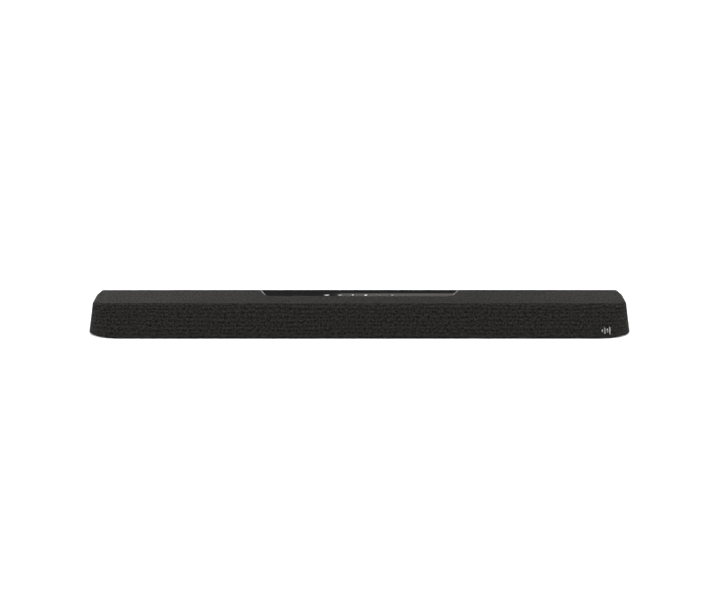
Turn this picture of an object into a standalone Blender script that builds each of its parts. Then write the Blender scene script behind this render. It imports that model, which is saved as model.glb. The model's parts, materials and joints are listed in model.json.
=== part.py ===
"""A soundbar about 1 m wide, as separate parts in metres.

+X is the listener's right, -Y the front, +Z up. The origin lies on the table under the middle.
Sizes ending in _MM, and the numbers in the profiles, are millimetres. Heights are measured from the
table, and depths along Y from the front edge of the base, which is at Y = -DEPTH_MM / 2.
"""

import math

import bmesh
import bpy
from mathutils import Matrix, Vector

MM = 0.001
GAP_MM = 0.3

# The body: a long bar whose front and ends lean in towards the top.
WIDTH_MM = 1000
DEPTH_MM = 120
TOP_MM = 60
SKIRT_MM = 2.5
FRONT_LEAN_MM = 24.3
END_LEAN_MM = 7.5
# The chamfer round the top: how far it drops, and how far it draws in at the front, ends and back.
EDGE_DROP_MM = 5.5
EDGE_FRONT_MM = 5.5
EDGE_ENDS_MM = 7
EDGE_BACK_MM = 2
# The share of the chamfer that each millimetre inside the outer surface takes away.
EDGE_FADE = 0.075
FRONT_CORNER_MM = (60, 44)
FRONT_CORNER_TOP_MM = (18, 29)
BACK_CORNER_MM = (12, 22)
FRONT_CORNER_STEPS = 7
BACK_CORNER_STEPS = 3

# Layers of the body, each as its outer and inner distance from the outer surface.
FABRIC_MM = (0, 1)
GRILLE_MM = (1.3, 4)
BAFFLE_MM = (9, 12)
COVER_WALL_MM = 3
SPLIT_MM = 113
BAFFLE_SPLIT_MM = 97

# The control tray in the top, open at the back, where the rear cover's rim closes it.
TRAY_FRONT_MM = 74
TRAY_BACK_MM = 114.7
TRAY_HALF_FRONT_MM = 172.5
TRAY_HALF_BACK_MM = 186
TRAY_CORNER_MM = 12
TRAY_FLOOR_MM = 57
TRAY_WALL_MM = 1.5

# The buttons in the tray.
BUTTON_NAMES = ("power", "input", "link", "mode", "volume_down", "volume_up")
BUTTON_PITCH_MM = 24.5
BUTTON_DEPTH_MM = 91
BUTTON_R_MM = 5
BUTTON_FLANGE_MM = 0.9

# Drivers: where each sits along X.
WOOFER_X_MM = (-252, -82, 82, 252)
TWEETER_X_MM = (-340, 0, 340)
ELEVATION_X_MM = (-418, 418)
ELEVATION_DEPTH_MM = 70
DISPLAY_X_MM = 166
BULKHEAD_X_MM = (-375, -168, 168, 375)

# The underside.
PLATE_MM = (3, 5.5)
PLATE_INSET_MM = 4.7
PLINTH_LOW_MM = 1.2
PLINTH_HALF_MM = 463
FOOT_HALF_MM = 210
FOOT_X_MM = 240
SCREW_PLACES_MM = ((-470, 62), (-130, 92), (130, 92), (470, 62))

# The bays in the back, and what is in them.
BAY_FLOOR_MM = 94
BAY_WALL_MM = 2.5
SIGNAL_BAY_MM = ((-90.5, 12), (90.5, 44))
POWER_BAY_MM = ((195, 14), (245, 44))
BOARD_TOP_MM = 14.6
SOCKET_BACK_MM = 80
SOCKET_FACE_MM = BAY_FLOOR_MM + GAP_MM
PLATE_X_MM = 350
PLATE_Z_MM = 30

# The badge on the front, as X and height, and how the curve of the corner sets and turns it.
BADGE_MM = (451, 14)
BADGE_SETBACK_MM = 0.1
BADGE_SWING = math.radians(3.6)

LEAN = math.atan2(FRONT_LEAN_MM, TOP_MM - SKIRT_MM)
END_LEAN = math.atan2(END_LEAN_MM, TOP_MM - SKIRT_MM)
# A driver's own +Z points out of the front face, and its own X along the bar.
FRONT_TURN = math.pi / 2 - LEAN

for old in list(bpy.data.objects):
    bpy.data.objects.remove(old, do_unlink=True)

PARTS = bpy.data.collections.new("soundbar")
CUTTERS = bpy.data.collections.new("cutters")
for group in (PARTS, CUTTERS):
    bpy.context.scene.collection.children.link(group)

MATERIALS = {}


def material(name, colour, roughness, metallic=0.0):
    """A Principled material, made once for each name."""
    if name not in MATERIALS:
        made = bpy.data.materials.new(name)
        made.use_nodes = True
        shader = made.node_tree.nodes["Principled BSDF"]
        shader.inputs["Base Color"].default_value = (*colour, 1)
        shader.inputs["Roughness"].default_value = roughness
        shader.inputs["Metallic"].default_value = metallic
        MATERIALS[name] = made
    return MATERIALS[name]


def fabric():
    return material("acoustic_fabric", (0.045, 0.044, 0.043), 0.95)


def matte_black():
    return material("matte_black", (0.018, 0.018, 0.018), 0.6)


def gloss_black():
    return material("gloss_black", (0.008, 0.008, 0.008), 0.08)


def rubber():
    return material("rubber", (0.02, 0.02, 0.02), 0.85)


def steel():
    return material("zinc_steel", (0.55, 0.55, 0.53), 0.35, 1.0)


def aluminium():
    return material("aluminium", (0.62, 0.62, 0.63), 0.4, 1.0)


def circuit_board():
    return material("circuit_board", (0.02, 0.11, 0.05), 0.5)


def cone_paper():
    return material("cone_paper", (0.05, 0.05, 0.052), 0.8)


def dome_silk():
    return material("dome_silk", (0.03, 0.03, 0.035), 0.7)


def driver_frame():
    return material("driver_frame", (0.03, 0.03, 0.03), 0.5)


def badge_metal():
    return material("badge_metal", (0.72, 0.72, 0.71), 0.3, 1.0)


def add(name, mesh, finish, group=PARTS):
    """An object of this mesh, with its finish, in a collection."""
    mesh.materials.append(finish)
    obj = bpy.data.objects.new(name, mesh)
    group.objects.link(obj)
    return obj


def finished(bm, name, finish, smooth_above=None):
    """The bmesh as an object in the parts' collection, its faces pointing out."""
    bmesh.ops.recalc_face_normals(bm, faces=bm.faces)
    mesh = bpy.data.meshes.new(name)
    bm.to_mesh(mesh)
    bm.free()
    if smooth_above is not None:
        mesh.shade_smooth()
        mesh.set_sharp_from_angle(angle=math.radians(smooth_above))
    return add(name, mesh, finish)


def depth(y_mm):
    """A depth from the front edge of the base, in millimetres, as a place along Y in metres."""
    return (y_mm - DEPTH_MM / 2) * MM


def box(name, low_mm, high_mm, finish):
    """A box between two corners, each as X, depth and height in millimetres."""
    low = Vector((low_mm[0] * MM, depth(low_mm[1]), low_mm[2] * MM))
    high = Vector((high_mm[0] * MM, depth(high_mm[1]), high_mm[2] * MM))
    bm = bmesh.new()
    place = Matrix.Translation((low + high) / 2) @ Matrix.Diagonal((*(high - low), 1))
    bmesh.ops.create_cube(bm, size=1, matrix=place)
    return finished(bm, name, finish)


def cylinder(name, radius_mm, low_mm, high_mm, finish, steps=16):
    """A cylinder between two points, each as X, depth and height in millimetres."""
    low = Vector((low_mm[0] * MM, depth(low_mm[1]), low_mm[2] * MM))
    high = Vector((high_mm[0] * MM, depth(high_mm[1]), high_mm[2] * MM))
    along = high - low
    turn = along.to_track_quat("Z", "Y").to_matrix().to_4x4()
    bm = bmesh.new()
    bmesh.ops.create_cone(
        bm,
        cap_ends=True,
        segments=steps,
        radius1=radius_mm * MM,
        radius2=radius_mm * MM,
        depth=along.length,
        matrix=Matrix.Translation((low + high) / 2) @ turn,
    )
    return finished(bm, name, finish, smooth_above=40)


def loft(name, rings, finish, smooth_above=None):
    """A solid through rings of as many points each, with a face over the first and the last."""
    bm = bmesh.new()
    loops = [[bm.verts.new(point) for point in ring] for ring in rings]
    count = len(loops[0])
    for lower, upper in zip(loops, loops[1:]):
        for i in range(count):
            bm.faces.new((lower[i - 1], lower[i], upper[i], upper[i - 1]))
    bm.faces.new(loops[0])
    bm.faces.new(loops[-1])
    return finished(bm, name, finish, smooth_above)


def turned(name, profile, finish, steps=12, hollow=False):
    """A solid turned about its own Z from (radius, height, straight) rings, in millimetres.

    A straight above 0 pulls the ring into a racetrack with that much straight side along X.
    A hollow one has no ends: its last ring joins its first.
    """
    loops = []
    bm = bmesh.new()
    for radius, height, straight in profile:
        loop = []
        for i in range(steps):
            angle = 2 * math.pi * (i + 0.5) / steps
            shift = math.copysign(straight / 2, math.cos(angle))
            point = (shift + radius * math.cos(angle), radius * math.sin(angle), height)
            loop.append(bm.verts.new(Vector(point) * MM))
        loops.append(loop)
    pairs = list(zip(loops, loops[1:]))
    if hollow:
        pairs.append((loops[-1], loops[0]))
    else:
        bm.faces.new(loops[0])
        bm.faces.new(loops[-1])
    for lower, upper in pairs:
        for i in range(steps):
            bm.faces.new((lower[i - 1], lower[i], upper[i], upper[i - 1]))
    return finished(bm, name, finish, smooth_above=35)


def boolean(obj, other, operation):
    """Adds a Boolean with another object, which becomes a hidden helper."""
    modifier = obj.modifiers.new(other.name, "BOOLEAN")
    modifier.operation = operation
    modifier.object = other
    PARTS.objects.unlink(other)
    CUTTERS.objects.link(other)
    other.hide_render = True
    other.display_type = "WIRE"


def carve(obj, *cutters):
    for cutter in cutters:
        boolean(obj, cutter, "DIFFERENCE")


def fuse(obj, *others):
    for other in others:
        boolean(obj, other, "UNION")


def plan_ring(inset_mm, height_mm, edge=0.0):
    """The outline of the bar at a height, this far inside its outer surface, as points in metres.

    The front corners tighten towards the top.
    An edge above 0 draws it in further, by that share of the top edge's chamfer.
    """
    rise = (height_mm - SKIRT_MM) / (TOP_MM - SKIRT_MM)
    half = WIDTH_MM / 2 - inset_mm / math.cos(END_LEAN) - END_LEAN_MM * rise - EDGE_ENDS_MM * edge
    front = inset_mm / math.cos(LEAN) + FRONT_LEAN_MM * rise + EDGE_FRONT_MM * edge
    back = DEPTH_MM - inset_mm - EDGE_BACK_MM * edge
    right = []
    taper = max(rise, 0)
    front_corner = [low + (high - low) * taper for low, high in zip(FRONT_CORNER_MM, FRONT_CORNER_TOP_MM)]
    corners = (
        (front_corner, EDGE_FRONT_MM, front, 1, FRONT_CORNER_STEPS, math.pi / 2, 0),
        (BACK_CORNER_MM, EDGE_BACK_MM, back, -1, BACK_CORNER_STEPS, 0, math.pi / 2),
    )
    for (along, deep), drawn, line, inward, steps, start, end in corners:
        along = max(along - inset_mm - EDGE_ENDS_MM * edge, 2)
        deep = max(deep - inset_mm - drawn * edge, 2)
        for i in range(steps + 1):
            angle = start + (end - start) * i / steps
            x = half - along + along * math.cos(angle)
            y = line + inward * (deep - deep * math.sin(angle))
            right.append((x, y))
    left = [(-x, y) for x, y in reversed(right)]
    return [Vector((x * MM, depth(y), height_mm * MM)) for x, y in right + left]


def bar_layer(name, inset_mm, low_mm, finish):
    """The whole bar, this far inside its outer surface, from a height up to the chamfered top edge."""
    edge = 1 - inset_mm * EDGE_FADE
    shoulder = TOP_MM - inset_mm - EDGE_DROP_MM * edge
    lift = Vector((0, 0, EDGE_DROP_MM * edge * MM))
    top = [point + lift for point in plan_ring(inset_mm, shoulder, edge)]
    return loft(name, [plan_ring(inset_mm, low_mm), plan_ring(inset_mm, shoulder), top], finish)


def beyond(name, y_mm, finish):
    """A large box over everything behind a depth."""
    return box(name, (-600, y_mm, -20), (600, 200, 90), finish)


def before(name, y_mm, finish):
    """A large box over everything in front of a depth."""
    return box(name, (-600, -50, -20), (600, y_mm, 90), finish)


def shell(name, layer_mm, low_mm, finish, split_mm=SPLIT_MM):
    """A layer of the front, ends and top of the bar, open below and behind a depth."""
    outer, inner = layer_mm
    obj = bar_layer(name, outer, low_mm, finish)
    core = bar_layer(name + "_core", inner, low_mm - 20, finish)
    carve(obj, core, beyond(name + "_behind", split_mm, finish))
    return obj


def tray_ring(margin_mm, height_mm, back_mm):
    """The control tray's outline: wider behind, with two round corners in front."""
    lean = (TRAY_HALF_BACK_MM - TRAY_HALF_FRONT_MM) / (TRAY_BACK_MM - TRAY_FRONT_MM)
    front = TRAY_FRONT_MM - margin_mm
    half_front = TRAY_HALF_FRONT_MM + margin_mm * (1 - lean)
    half_back = half_front + lean * (back_mm - front)
    radius = TRAY_CORNER_MM + margin_mm
    side = math.atan(lean)
    reach = radius * math.tan((math.pi / 2 - side) / 2)
    centre = (half_front - reach, front + radius)
    right = []
    for i in range(5):
        angle = -math.pi / 2 + (math.pi / 2 - side) * i / 4
        x = centre[0] + radius * math.cos(angle)
        right.append((x, centre[1] + radius * math.sin(angle)))
    right.append((half_back, back_mm))
    left = [(-x, y) for x, y in reversed(right)]
    return [Vector((x * MM, depth(y), height_mm * MM)) for x, y in right + left]


def tray_block(name, margin_mm, low_mm, high_mm, back_mm, finish):
    rings = [tray_ring(margin_mm, z, back_mm) for z in (low_mm, high_mm)]
    return loft(name, rings, finish)


def front_point(x_mm, height_mm, inset_mm):
    """A point on a layer of the front face, in metres."""
    rise = (height_mm - SKIRT_MM) / (TOP_MM - SKIRT_MM)
    y = inset_mm / math.cos(LEAN) + FRONT_LEAN_MM * rise
    return Vector((x_mm * MM, depth(y), height_mm * MM))


def seat(name, place, turn, swing=0.0):
    """An empty whose Z axis is the way a driver faces: turned up or down, then swung sideways."""
    empty = bpy.data.objects.new(name, None)
    empty.location = place
    empty.rotation_euler = (turn, 0, swing)
    CUTTERS.objects.link(empty)
    return empty


def on_seat(obj, empty):
    obj.parent = empty
    return obj


BAFFLE_MID_MM = 28.5
WOOFER_STRAIGHT = 72


def front_seats(kind, places_mm):
    return [
        seat(f"{kind}_{n}_seat", front_point(x, BAFFLE_MID_MM, BAFFLE_MM[0]), FRONT_TURN)
        for n, x in enumerate(places_mm, 1)
    ]


def seats():
    """The empties of all the drivers, by kind."""
    deck = (TOP_MM - BAFFLE_MM[0]) * MM
    elevation = [
        seat(f"elevation_{n}_seat", Vector((x * MM, depth(ELEVATION_DEPTH_MM), deck)), 0)
        for n, x in enumerate(ELEVATION_X_MM, 1)
    ]
    return {
        "woofer": front_seats("woofer", WOOFER_X_MM),
        "tweeter": front_seats("tweeter", TWEETER_X_MM),
        "elevation": elevation,
    }


def build_woofer(number, empty):
    """A racetrack woofer: basket with its magnet, rubber surround, and the cone with its coil."""
    long, mid = WOOFER_STRAIGHT, 45
    basket = [
        (12.9, -27, 0),
        (12.9, -14.5, 0),
        (13.2, -14.5, mid),
        (16.2, -3.4, long),
        (16.2, 0.3, long),
        (20, 0.3, long),
        (20, 2.3, long),
        (15.5, 2.3, long),
        (15.5, 0.9, long),
        (14.2, 0.9, long),
        (14.2, -2, long),
        (11.2, -12.8, mid),
        (9, -12.8, 0),
        (9, -21, 0),
        (7, -21, 0),
        (7, -12.8, 0),
    ]
    surround = [
        (15.2, 1.2, long),
        (15.2, 2, long),
        (13.8, 3.4, long),
        (12.4, 2, long),
        (12.4, 1.3, long),
        (13.8, 2.6, long),
    ]
    cone = [
        (3, -3.6, 2),
        (6, -4.2, 8),
        (8, -5, 20),
        (12, 1.4, long),
        (12, 0.6, long),
        (8.4, -6.2, 18),
        (8.4, -8, 0),
        (8.4, -17, 0),
        (7.6, -17, 0),
        (7.6, -7.4, 0),
        (3, -5.4, 0),
    ]
    name = f"woofer_{number}"
    on_seat(turned(name + "_basket", basket, driver_frame()), empty)
    on_seat(turned(name + "_surround", surround, rubber(), hollow=True), empty)
    on_seat(turned(name + "_cone", cone, cone_paper()), empty)


def build_elevation_driver(number, empty):
    """A round driver that fires upwards: basket with its magnet, surround, and cone with its coil."""
    basket = [
        (18, -31, 0),
        (18, -19, 0),
        (20, -18.6, 0),
        (31, -3.4, 0),
        (31, 0.3, 0),
        (37, 0.3, 0),
        (37, 2.3, 0),
        (30.4, 2.3, 0),
        (30.4, 0.9, 0),
        (28.6, 0.9, 0),
        (28.6, -2, 0),
        (19.5, -17, 0),
        (11.4, -17, 0),
        (11.4, -26, 0),
        (9, -26, 0),
        (9, -17, 0),
    ]
    surround = [
        (30.1, 1.2, 0),
        (30.1, 2, 0),
        (28, 3.6, 0),
        (26, 2, 0),
        (26, 1.3, 0),
        (28, 2.7, 0),
    ]
    cone = [
        (4, -5.2, 0),
        (8, -6, 0),
        (11, -7.5, 0),
        (25.6, 1.4, 0),
        (25.6, 0.6, 0),
        (10.8, -8.9, 0),
        (10.8, -22, 0),
        (9.8, -22, 0),
        (9.8, -8.8, 0),
        (4, -7, 0),
    ]
    name = f"elevation_{number}"
    steps = 16
    on_seat(turned(name + "_basket", basket, driver_frame(), steps), empty)
    on_seat(turned(name + "_surround", surround, rubber(), steps, hollow=True), empty)
    on_seat(turned(name + "_cone", cone, cone_paper(), steps), empty)


def build_tweeter(number, empty):
    """A small dome tweeter: face plate with its magnet, and the dome."""
    frame = [
        (11, -16, 0),
        (11, -4, 0),
        (15, -3.4, 0),
        (15, 0.3, 0),
        (20, 0.3, 0),
        (20, 2, 0),
        (11.5, 2, 0),
        (10.3, 0.9, 0),
        (10.3, -3, 0),
    ]
    dome = [
        (3.5, 4.1, 0),
        (7, 3.2, 0),
        (9.6, 1.6, 0),
        (9.8, 0.9, 0),
        (9.8, 0.2, 0),
        (7, 2.2, 0),
        (3.5, 3.1, 0),
    ]
    name = f"tweeter_{number}"
    on_seat(turned(name + "_frame", frame, driver_frame()), empty)
    on_seat(turned(name + "_dome", dome, dome_silk()), empty)


def build_fabric():
    wrap = shell("fabric_wrap", FABRIC_MM, SKIRT_MM, fabric())
    tray = tray_block("fabric_notch", GAP_MM, TRAY_FLOOR_MM - 6, 70, 130, fabric())
    carve(wrap, tray)


def window(name, size_mm, place_mm, empty, finish):
    """A cutter for one opening of the grille in front of a driver, in the driver's own frame."""
    bm = bmesh.new()
    size = Vector((size_mm[0], size_mm[1], 24)) * MM
    middle = Vector((place_mm[0], place_mm[1], 8)) * MM
    bmesh.ops.create_cube(bm, size=1, matrix=Matrix.Translation(middle) @ Matrix.Diagonal((*size, 1)))
    return on_seat(finished(bm, name, finish), empty)


def build_grille(places):
    """The moulded frame under the fabric, with ribbed windows over the drivers."""
    finish = matte_black()
    grille = shell("grille_frame", GRILLE_MM, SKIRT_MM + 0.7, finish)
    carve(grille, tray_block("grille_notch", GAP_MM, TRAY_FLOOR_MM - 6, 70, 130, finish))
    for kind, rows, size, pitch in (
        ("woofer", (-1, 0, 1), (30, 28), 34),
        ("tweeter", (0,), (27, 26), 0),
        ("elevation", (-1, 0, 1), (18, 54), 22),
    ):
        for n, empty in enumerate(places[kind], 1):
            for row in rows:
                name = f"{kind}_{n}_window_{row + 2}"
                carve(grille, window(name, size, (row * pitch, 0), empty, finish))


def driver_hole(name, radius_mm, straight_mm, empty, finish):
    profile = [(radius_mm, -8, straight_mm), (radius_mm, 6, straight_mm)]
    return on_seat(turned(name, profile, finish, 16), empty)


def build_baffle(places):
    """The inner housing that holds the drivers: sloping front, top deck and ends, bulkheads, bosses."""
    finish = matte_black()
    baffle = shell("driver_baffle", BAFFLE_MM, PLATE_MM[1] + GAP_MM, finish, BAFFLE_SPLIT_MM)
    for kind, radius, straight in (
        ("woofer", 16.6, WOOFER_STRAIGHT),
        ("tweeter", 15.4, 0),
        ("elevation", 31.5, 0),
    ):
        for n, empty in enumerate(places[kind], 1):
            carve(baffle, driver_hole(f"{kind}_{n}_hole", radius, straight, empty, finish))
    deck = TOP_MM - BAFFLE_MM[0] - 1
    low = PLATE_MM[1] + GAP_MM
    for n, x in enumerate(BULKHEAD_X_MM, 1):
        fuse(baffle, box(f"bulkhead_{n}", (x - 1, 34, 14), (x + 1, 95, deck), finish))
    for n, (x, y) in enumerate(SCREW_PLACES_MM, 1):
        fuse(baffle, cylinder(f"boss_{n}", 4, (x, y, low), (x, y, deck), finish, 10))
    for n, (x, y) in enumerate(SCREW_PLACES_MM, 1):
        carve(baffle, cylinder(f"boss_hole_{n}", 1.8, (x, y, low - 5), (x, y, 22), finish, 10))


def build_bottom():
    """The bottom cover: a plate inside the skirt, a plinth under it, and holes for the screws."""
    finish = matte_black()
    low, high = PLATE_MM
    rings = [plan_ring(PLATE_INSET_MM, z) for z in (low, high)]
    cover = loft("bottom_cover", rings, finish)
    plinth = box("plinth", (-PLINTH_HALF_MM, 9, PLINTH_LOW_MM), (PLINTH_HALF_MM, 111, low + 1), finish)
    fuse(cover, plinth)
    for n, (x, y) in enumerate(SCREW_PLACES_MM, 1):
        carve(cover, cylinder(f"screw_recess_{n}", 3.6, (x, y, -2), (x, y, 3.6), finish, 16))
        carve(cover, cylinder(f"screw_way_{n}", 1.9, (x, y, -2), (x, y, 12), finish, 12))
    for side, x in (("left", -FOOT_X_MM), ("right", FOOT_X_MM)):
        pocket = foot_shape(f"foot_pocket_{side}", x, GAP_MM, -2, 2.2, finish)
        carve(cover, pocket)
        foot_shape(f"foot_{side}", x, 0, 0, 2.2 - GAP_MM, rubber())


def foot_shape(name, x_mm, margin_mm, low_mm, high_mm, finish):
    """A long rubber strip with round ends, along the middle of one half of the bar."""
    radius = 9 + margin_mm
    straight = 2 * (FOOT_HALF_MM - 9)
    centre = 60
    profile = [(radius, low_mm, straight), (radius, high_mm, straight)]
    obj = turned(name, profile, finish, 16)
    obj.location = (x_mm * MM, depth(centre), 0)
    return obj


def build_screws():
    for n, (x, y) in enumerate(SCREW_PLACES_MM, 1):
        profile = [
            (1.4, 18, 0),
            (1.4, 3.3, 0),
            (3.1, 3.3, 0),
            (3.1, 1.9, 0),
            (2.4, 1.4, 0),
        ]
        screw = turned(f"case_screw_{n}", profile, steel(), 12)
        screw.location = (x * MM, depth(y), 0)


def build_rear():
    """The rear cover: back wall with a rim all round, two connector bays and two hanger pockets."""
    finish = matte_black()
    rear = bar_layer("rear_cover", 0, PLATE_MM[0], finish)
    core = bar_layer("rear_core", COVER_WALL_MM, -20, finish)
    carve(rear, core, before("rear_front", SPLIT_MM + 0.4, finish))
    wall = DEPTH_MM - 2.5
    for name, (low, high) in (("signal", SIGNAL_BAY_MM), ("power", POWER_BAY_MM)):
        edge = BAY_WALL_MM
        outer_low = (low[0] - edge, BAY_FLOOR_MM - edge, low[1] - edge)
        outer_high = (high[0] + edge, wall, high[1] + edge)
        fuse(rear, box(name + "_bay", outer_low, outer_high, finish))
    for side in (-1, 1):
        x = side * PLATE_X_MM
        low = (x - 18, DEPTH_MM - 11.5, PLATE_Z_MM - 15)
        fuse(rear, box(f"pocket_{side}", low, (x + 18, wall, PLATE_Z_MM + 15), finish))
    for name, (low, high) in (("signal", SIGNAL_BAY_MM), ("power", POWER_BAY_MM)):
        inner_low = (low[0], BAY_FLOOR_MM, low[1])
        carve(rear, box(name + "_bay_hollow", inner_low, (high[0], 130, high[1]), finish))
    for side in (-1, 1):
        x = side * PLATE_X_MM
        hollow_low = (x - 12.5, DEPTH_MM - 9, PLATE_Z_MM - 9.5)
        hollow_high = (x + 12.5, DEPTH_MM - 1, PLATE_Z_MM + 9.5)
        seat_low = (x - 15.5, DEPTH_MM - 2, PLATE_Z_MM - 12.5)
        carve(rear, box(f"pocket_hollow_{side}", hollow_low, hollow_high, finish))
        carve(rear, box(f"pocket_seat_{side}", seat_low, (x + 15.5, 130, PLATE_Z_MM + 12.5), finish))
    for name, (low, high) in SOCKETS.items():
        hole_low = (low[0] - GAP_MM, BAY_FLOOR_MM - 5, low[1] - GAP_MM)
        hole_high = (high[0] + GAP_MM, BAY_FLOOR_MM + 5, high[1] + GAP_MM)
        carve(rear, box(name + "_hole", hole_low, hole_high, finish))
    carve(rear, tray_block("rear_notch", GAP_MM, TRAY_FLOOR_MM - 6, 70, TRAY_BACK_MM + GAP_MM, finish))


def build_hangers():
    """The steel keyhole plates that hang the bar on two wall screws."""
    for side, name in ((-1, "left"), (1, "right")):
        x = side * PLATE_X_MM
        low = (x - 15.2, DEPTH_MM - 1.7, PLATE_Z_MM - 12.2)
        plate = box(f"keyhole_plate_{name}", low, (x + 15.2, DEPTH_MM - 0.2, PLATE_Z_MM + 12.2), steel())
        deep, proud = DEPTH_MM - 10, DEPTH_MM + 10
        entry, top = PLATE_Z_MM - 4, PLATE_Z_MM + 6
        carve(
            plate,
            cylinder(f"entry_{name}", 5, (x, deep, entry), (x, proud, entry), steel()),
            box(f"slot_{name}", (x - 2.5, deep, entry), (x + 2.5, proud, top), steel()),
            cylinder(f"slot_end_{name}", 2.5, (x, deep, top), (x, proud, top), steel(), 12),
        )


# Each socket's block, as the X and height of its lower left and upper right corners.
SOCKETS = {
    "optical_socket": ((-75, BOARD_TOP_MM + 0.4), (-65, BOARD_TOP_MM + 10.4)),
    "hdmi_socket_1": ((-47.6, BOARD_TOP_MM + 0.4), (-32.4, BOARD_TOP_MM + 6.6)),
    "hdmi_socket_2": ((-19.6, BOARD_TOP_MM + 0.4), (-4.4, BOARD_TOP_MM + 6.6)),
    "usb_socket": ((10.8, BOARD_TOP_MM + 0.4), (25.2, BOARD_TOP_MM + 7.4)),
    "aux_jack": ((44, BOARD_TOP_MM + 0.4), (52, BOARD_TOP_MM + 8.4)),
    "power_inlet": ((208, 21), (232, 35)),
}
OPTICAL_WALL = 1.2
SHUTTER_MM = 0.8


def socket_block(name, finish):
    low, high = SOCKETS[name]
    return box(name, (low[0], SOCKET_BACK_MM, low[1]), (high[0], SOCKET_FACE_MM, high[1]), finish)


def mouth(name, wall_x, wall_z, floor_mm):
    """The cutter of a socket's rectangular mouth, down to a floor."""
    low, high = SOCKETS[name]
    inner_low = (low[0] + wall_x, floor_mm, low[1] + wall_z)
    return box(name + "_mouth", inner_low, (high[0] - wall_x, 110, high[1] - wall_z), matte_black())


def build_sockets():
    for name in ("hdmi_socket_1", "hdmi_socket_2"):
        carve(socket_block(name, steel()), mouth(name, 0.6, 0.8, 84))
    carve(socket_block("usb_socket", steel()), mouth("usb_socket", 0.9, 0.9, 82))
    optical = socket_block("optical_socket", matte_black())
    carve(optical, mouth("optical_socket", OPTICAL_WALL, OPTICAL_WALL, 82.5))
    build_shutter()
    jack = socket_block("aux_jack", matte_black())
    low, high = SOCKETS["aux_jack"]
    x, z = (low[0] + high[0]) / 2, (low[1] + high[1]) / 2
    carve(jack, cylinder("aux_bore", 1.8, (x, 82, z), (x, 110, z), matte_black(), 12))
    build_inlet()


def build_shutter():
    """The optical socket's sprung flap, turning on its top edge. Its parent empty is on the hinge."""
    low, high = SOCKETS["optical_socket"]
    middle = (low[0] + high[0]) / 2
    half = (high[0] - low[0]) / 2 - OPTICAL_WALL - GAP_MM
    top = high[1] - OPTICAL_WALL - GAP_MM
    bottom = low[1] + OPTICAL_WALL + GAP_MM
    face = SOCKET_FACE_MM - 0.4
    flap = box(
        "optical_shutter",
        (middle - half, face - SHUTTER_MM, bottom),
        (middle + half, face, top),
        matte_black(),
    )
    hinge = Vector((middle * MM, depth(face - SHUTTER_MM / 2), (top - SHUTTER_MM / 2) * MM))
    flap.parent = seat("optical_shutter_hinge", hinge, 0)
    flap.matrix_parent_inverse = Matrix.Translation(-hinge)


def build_inlet():
    """The two-pin mains inlet: a block with a racetrack mouth and two pins in it."""
    low, high = SOCKETS["power_inlet"]
    x, z = (low[0] + high[0]) / 2, (low[1] + high[1]) / 2
    inlet = socket_block("power_inlet", matte_black())
    mouth_cutter = turned("inlet_mouth", [(4.2, 0, 7.6), (4.2, 30, 7.6)], matte_black(), 16)
    mouth_cutter.location = (x * MM, depth(83), z * MM)
    mouth_cutter.rotation_euler = (-math.pi / 2, 0, 0)
    carve(inlet, mouth_cutter)
    for n, shift in enumerate((-4.3, 4.3), 1):
        fuse(inlet, cylinder(f"inlet_pin_{n}", 1.2, (x + shift, 81, z), (x + shift, 89.5, z), steel(), 10))


def build_tray():
    """The glossy control tray, with a hole for each button."""
    finish = gloss_black()
    low = TRAY_FLOOR_MM - 1.5
    tray = tray_block("control_tray", 0, low, TOP_MM, TRAY_BACK_MM, finish)
    inner = tray_block(
        "tray_hollow", -TRAY_WALL_MM, TRAY_FLOOR_MM, 70, TRAY_BACK_MM - TRAY_WALL_MM, finish
    )
    carve(tray, inner)
    for n in range(len(BUTTON_NAMES)):
        x = button_x(n)
        low_point = (x, BUTTON_DEPTH_MM, low - 5)
        high_point = (x, BUTTON_DEPTH_MM, 70)
        carve(tray, cylinder(f"button_hole_{n}", BUTTON_R_MM + GAP_MM, low_point, high_point, finish, 20))


def button_x(n):
    return (n - (len(BUTTON_NAMES) - 1) / 2) * BUTTON_PITCH_MM


def build_buttons():
    """Each button: a cap level with the tray, a flange that keeps it in, and a plunger."""
    floor, under = TRAY_FLOOR_MM, TRAY_FLOOR_MM - 1.5
    profile = [
        (1.5, 54.2, 0),
        (1.5, 54.6, 0),
        (BUTTON_R_MM + BUTTON_FLANGE_MM, 54.6, 0),
        (BUTTON_R_MM + BUTTON_FLANGE_MM, under - GAP_MM, 0),
        (BUTTON_R_MM, under - GAP_MM, 0),
        (BUTTON_R_MM, floor - 0.1, 0),
        (BUTTON_R_MM - 0.4, floor + 0.2, 0),
    ]
    for n, name in enumerate(BUTTON_NAMES):
        button = turned(f"button_{name}", profile, gloss_black(), 20)
        button.location = (button_x(n) * MM, depth(BUTTON_DEPTH_MM), 0)


def build_keypad():
    """The keypad board on the deck, with a dome switch under each button."""
    deck = TOP_MM - BAFFLE_MM[0] + GAP_MM
    top = deck + 1.2
    board = box("keypad_board", (-80, 83, deck), (80, 99, top), circuit_board())
    for n in range(len(BUTTON_NAMES)):
        x = button_x(n)
        low, high = (x, BUTTON_DEPTH_MM, top - 0.5), (x, BUTTON_DEPTH_MM, 53.4)
        fuse(board, cylinder(f"dome_{n}", 2.2, low, high, steel(), 10))


def build_main_board():
    box("main_board", (-95, 52, BOARD_TOP_MM - 1.6), (95, 90, BOARD_TOP_MM), circuit_board())
    base = BOARD_TOP_MM + GAP_MM
    sink = box("heat_sink", (30, 54, base), (90, 78, base + 16), aluminium())
    for n in range(7):
        x = 34 + n * 8
        carve(sink, box(f"fin_gap_{n}", (x, 50, base + 3), (x + 5, 82, base + 30), aluminium()))
    box("wireless_module", (-92, 54, base), (-58, 76, base + 3), steel())


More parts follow.
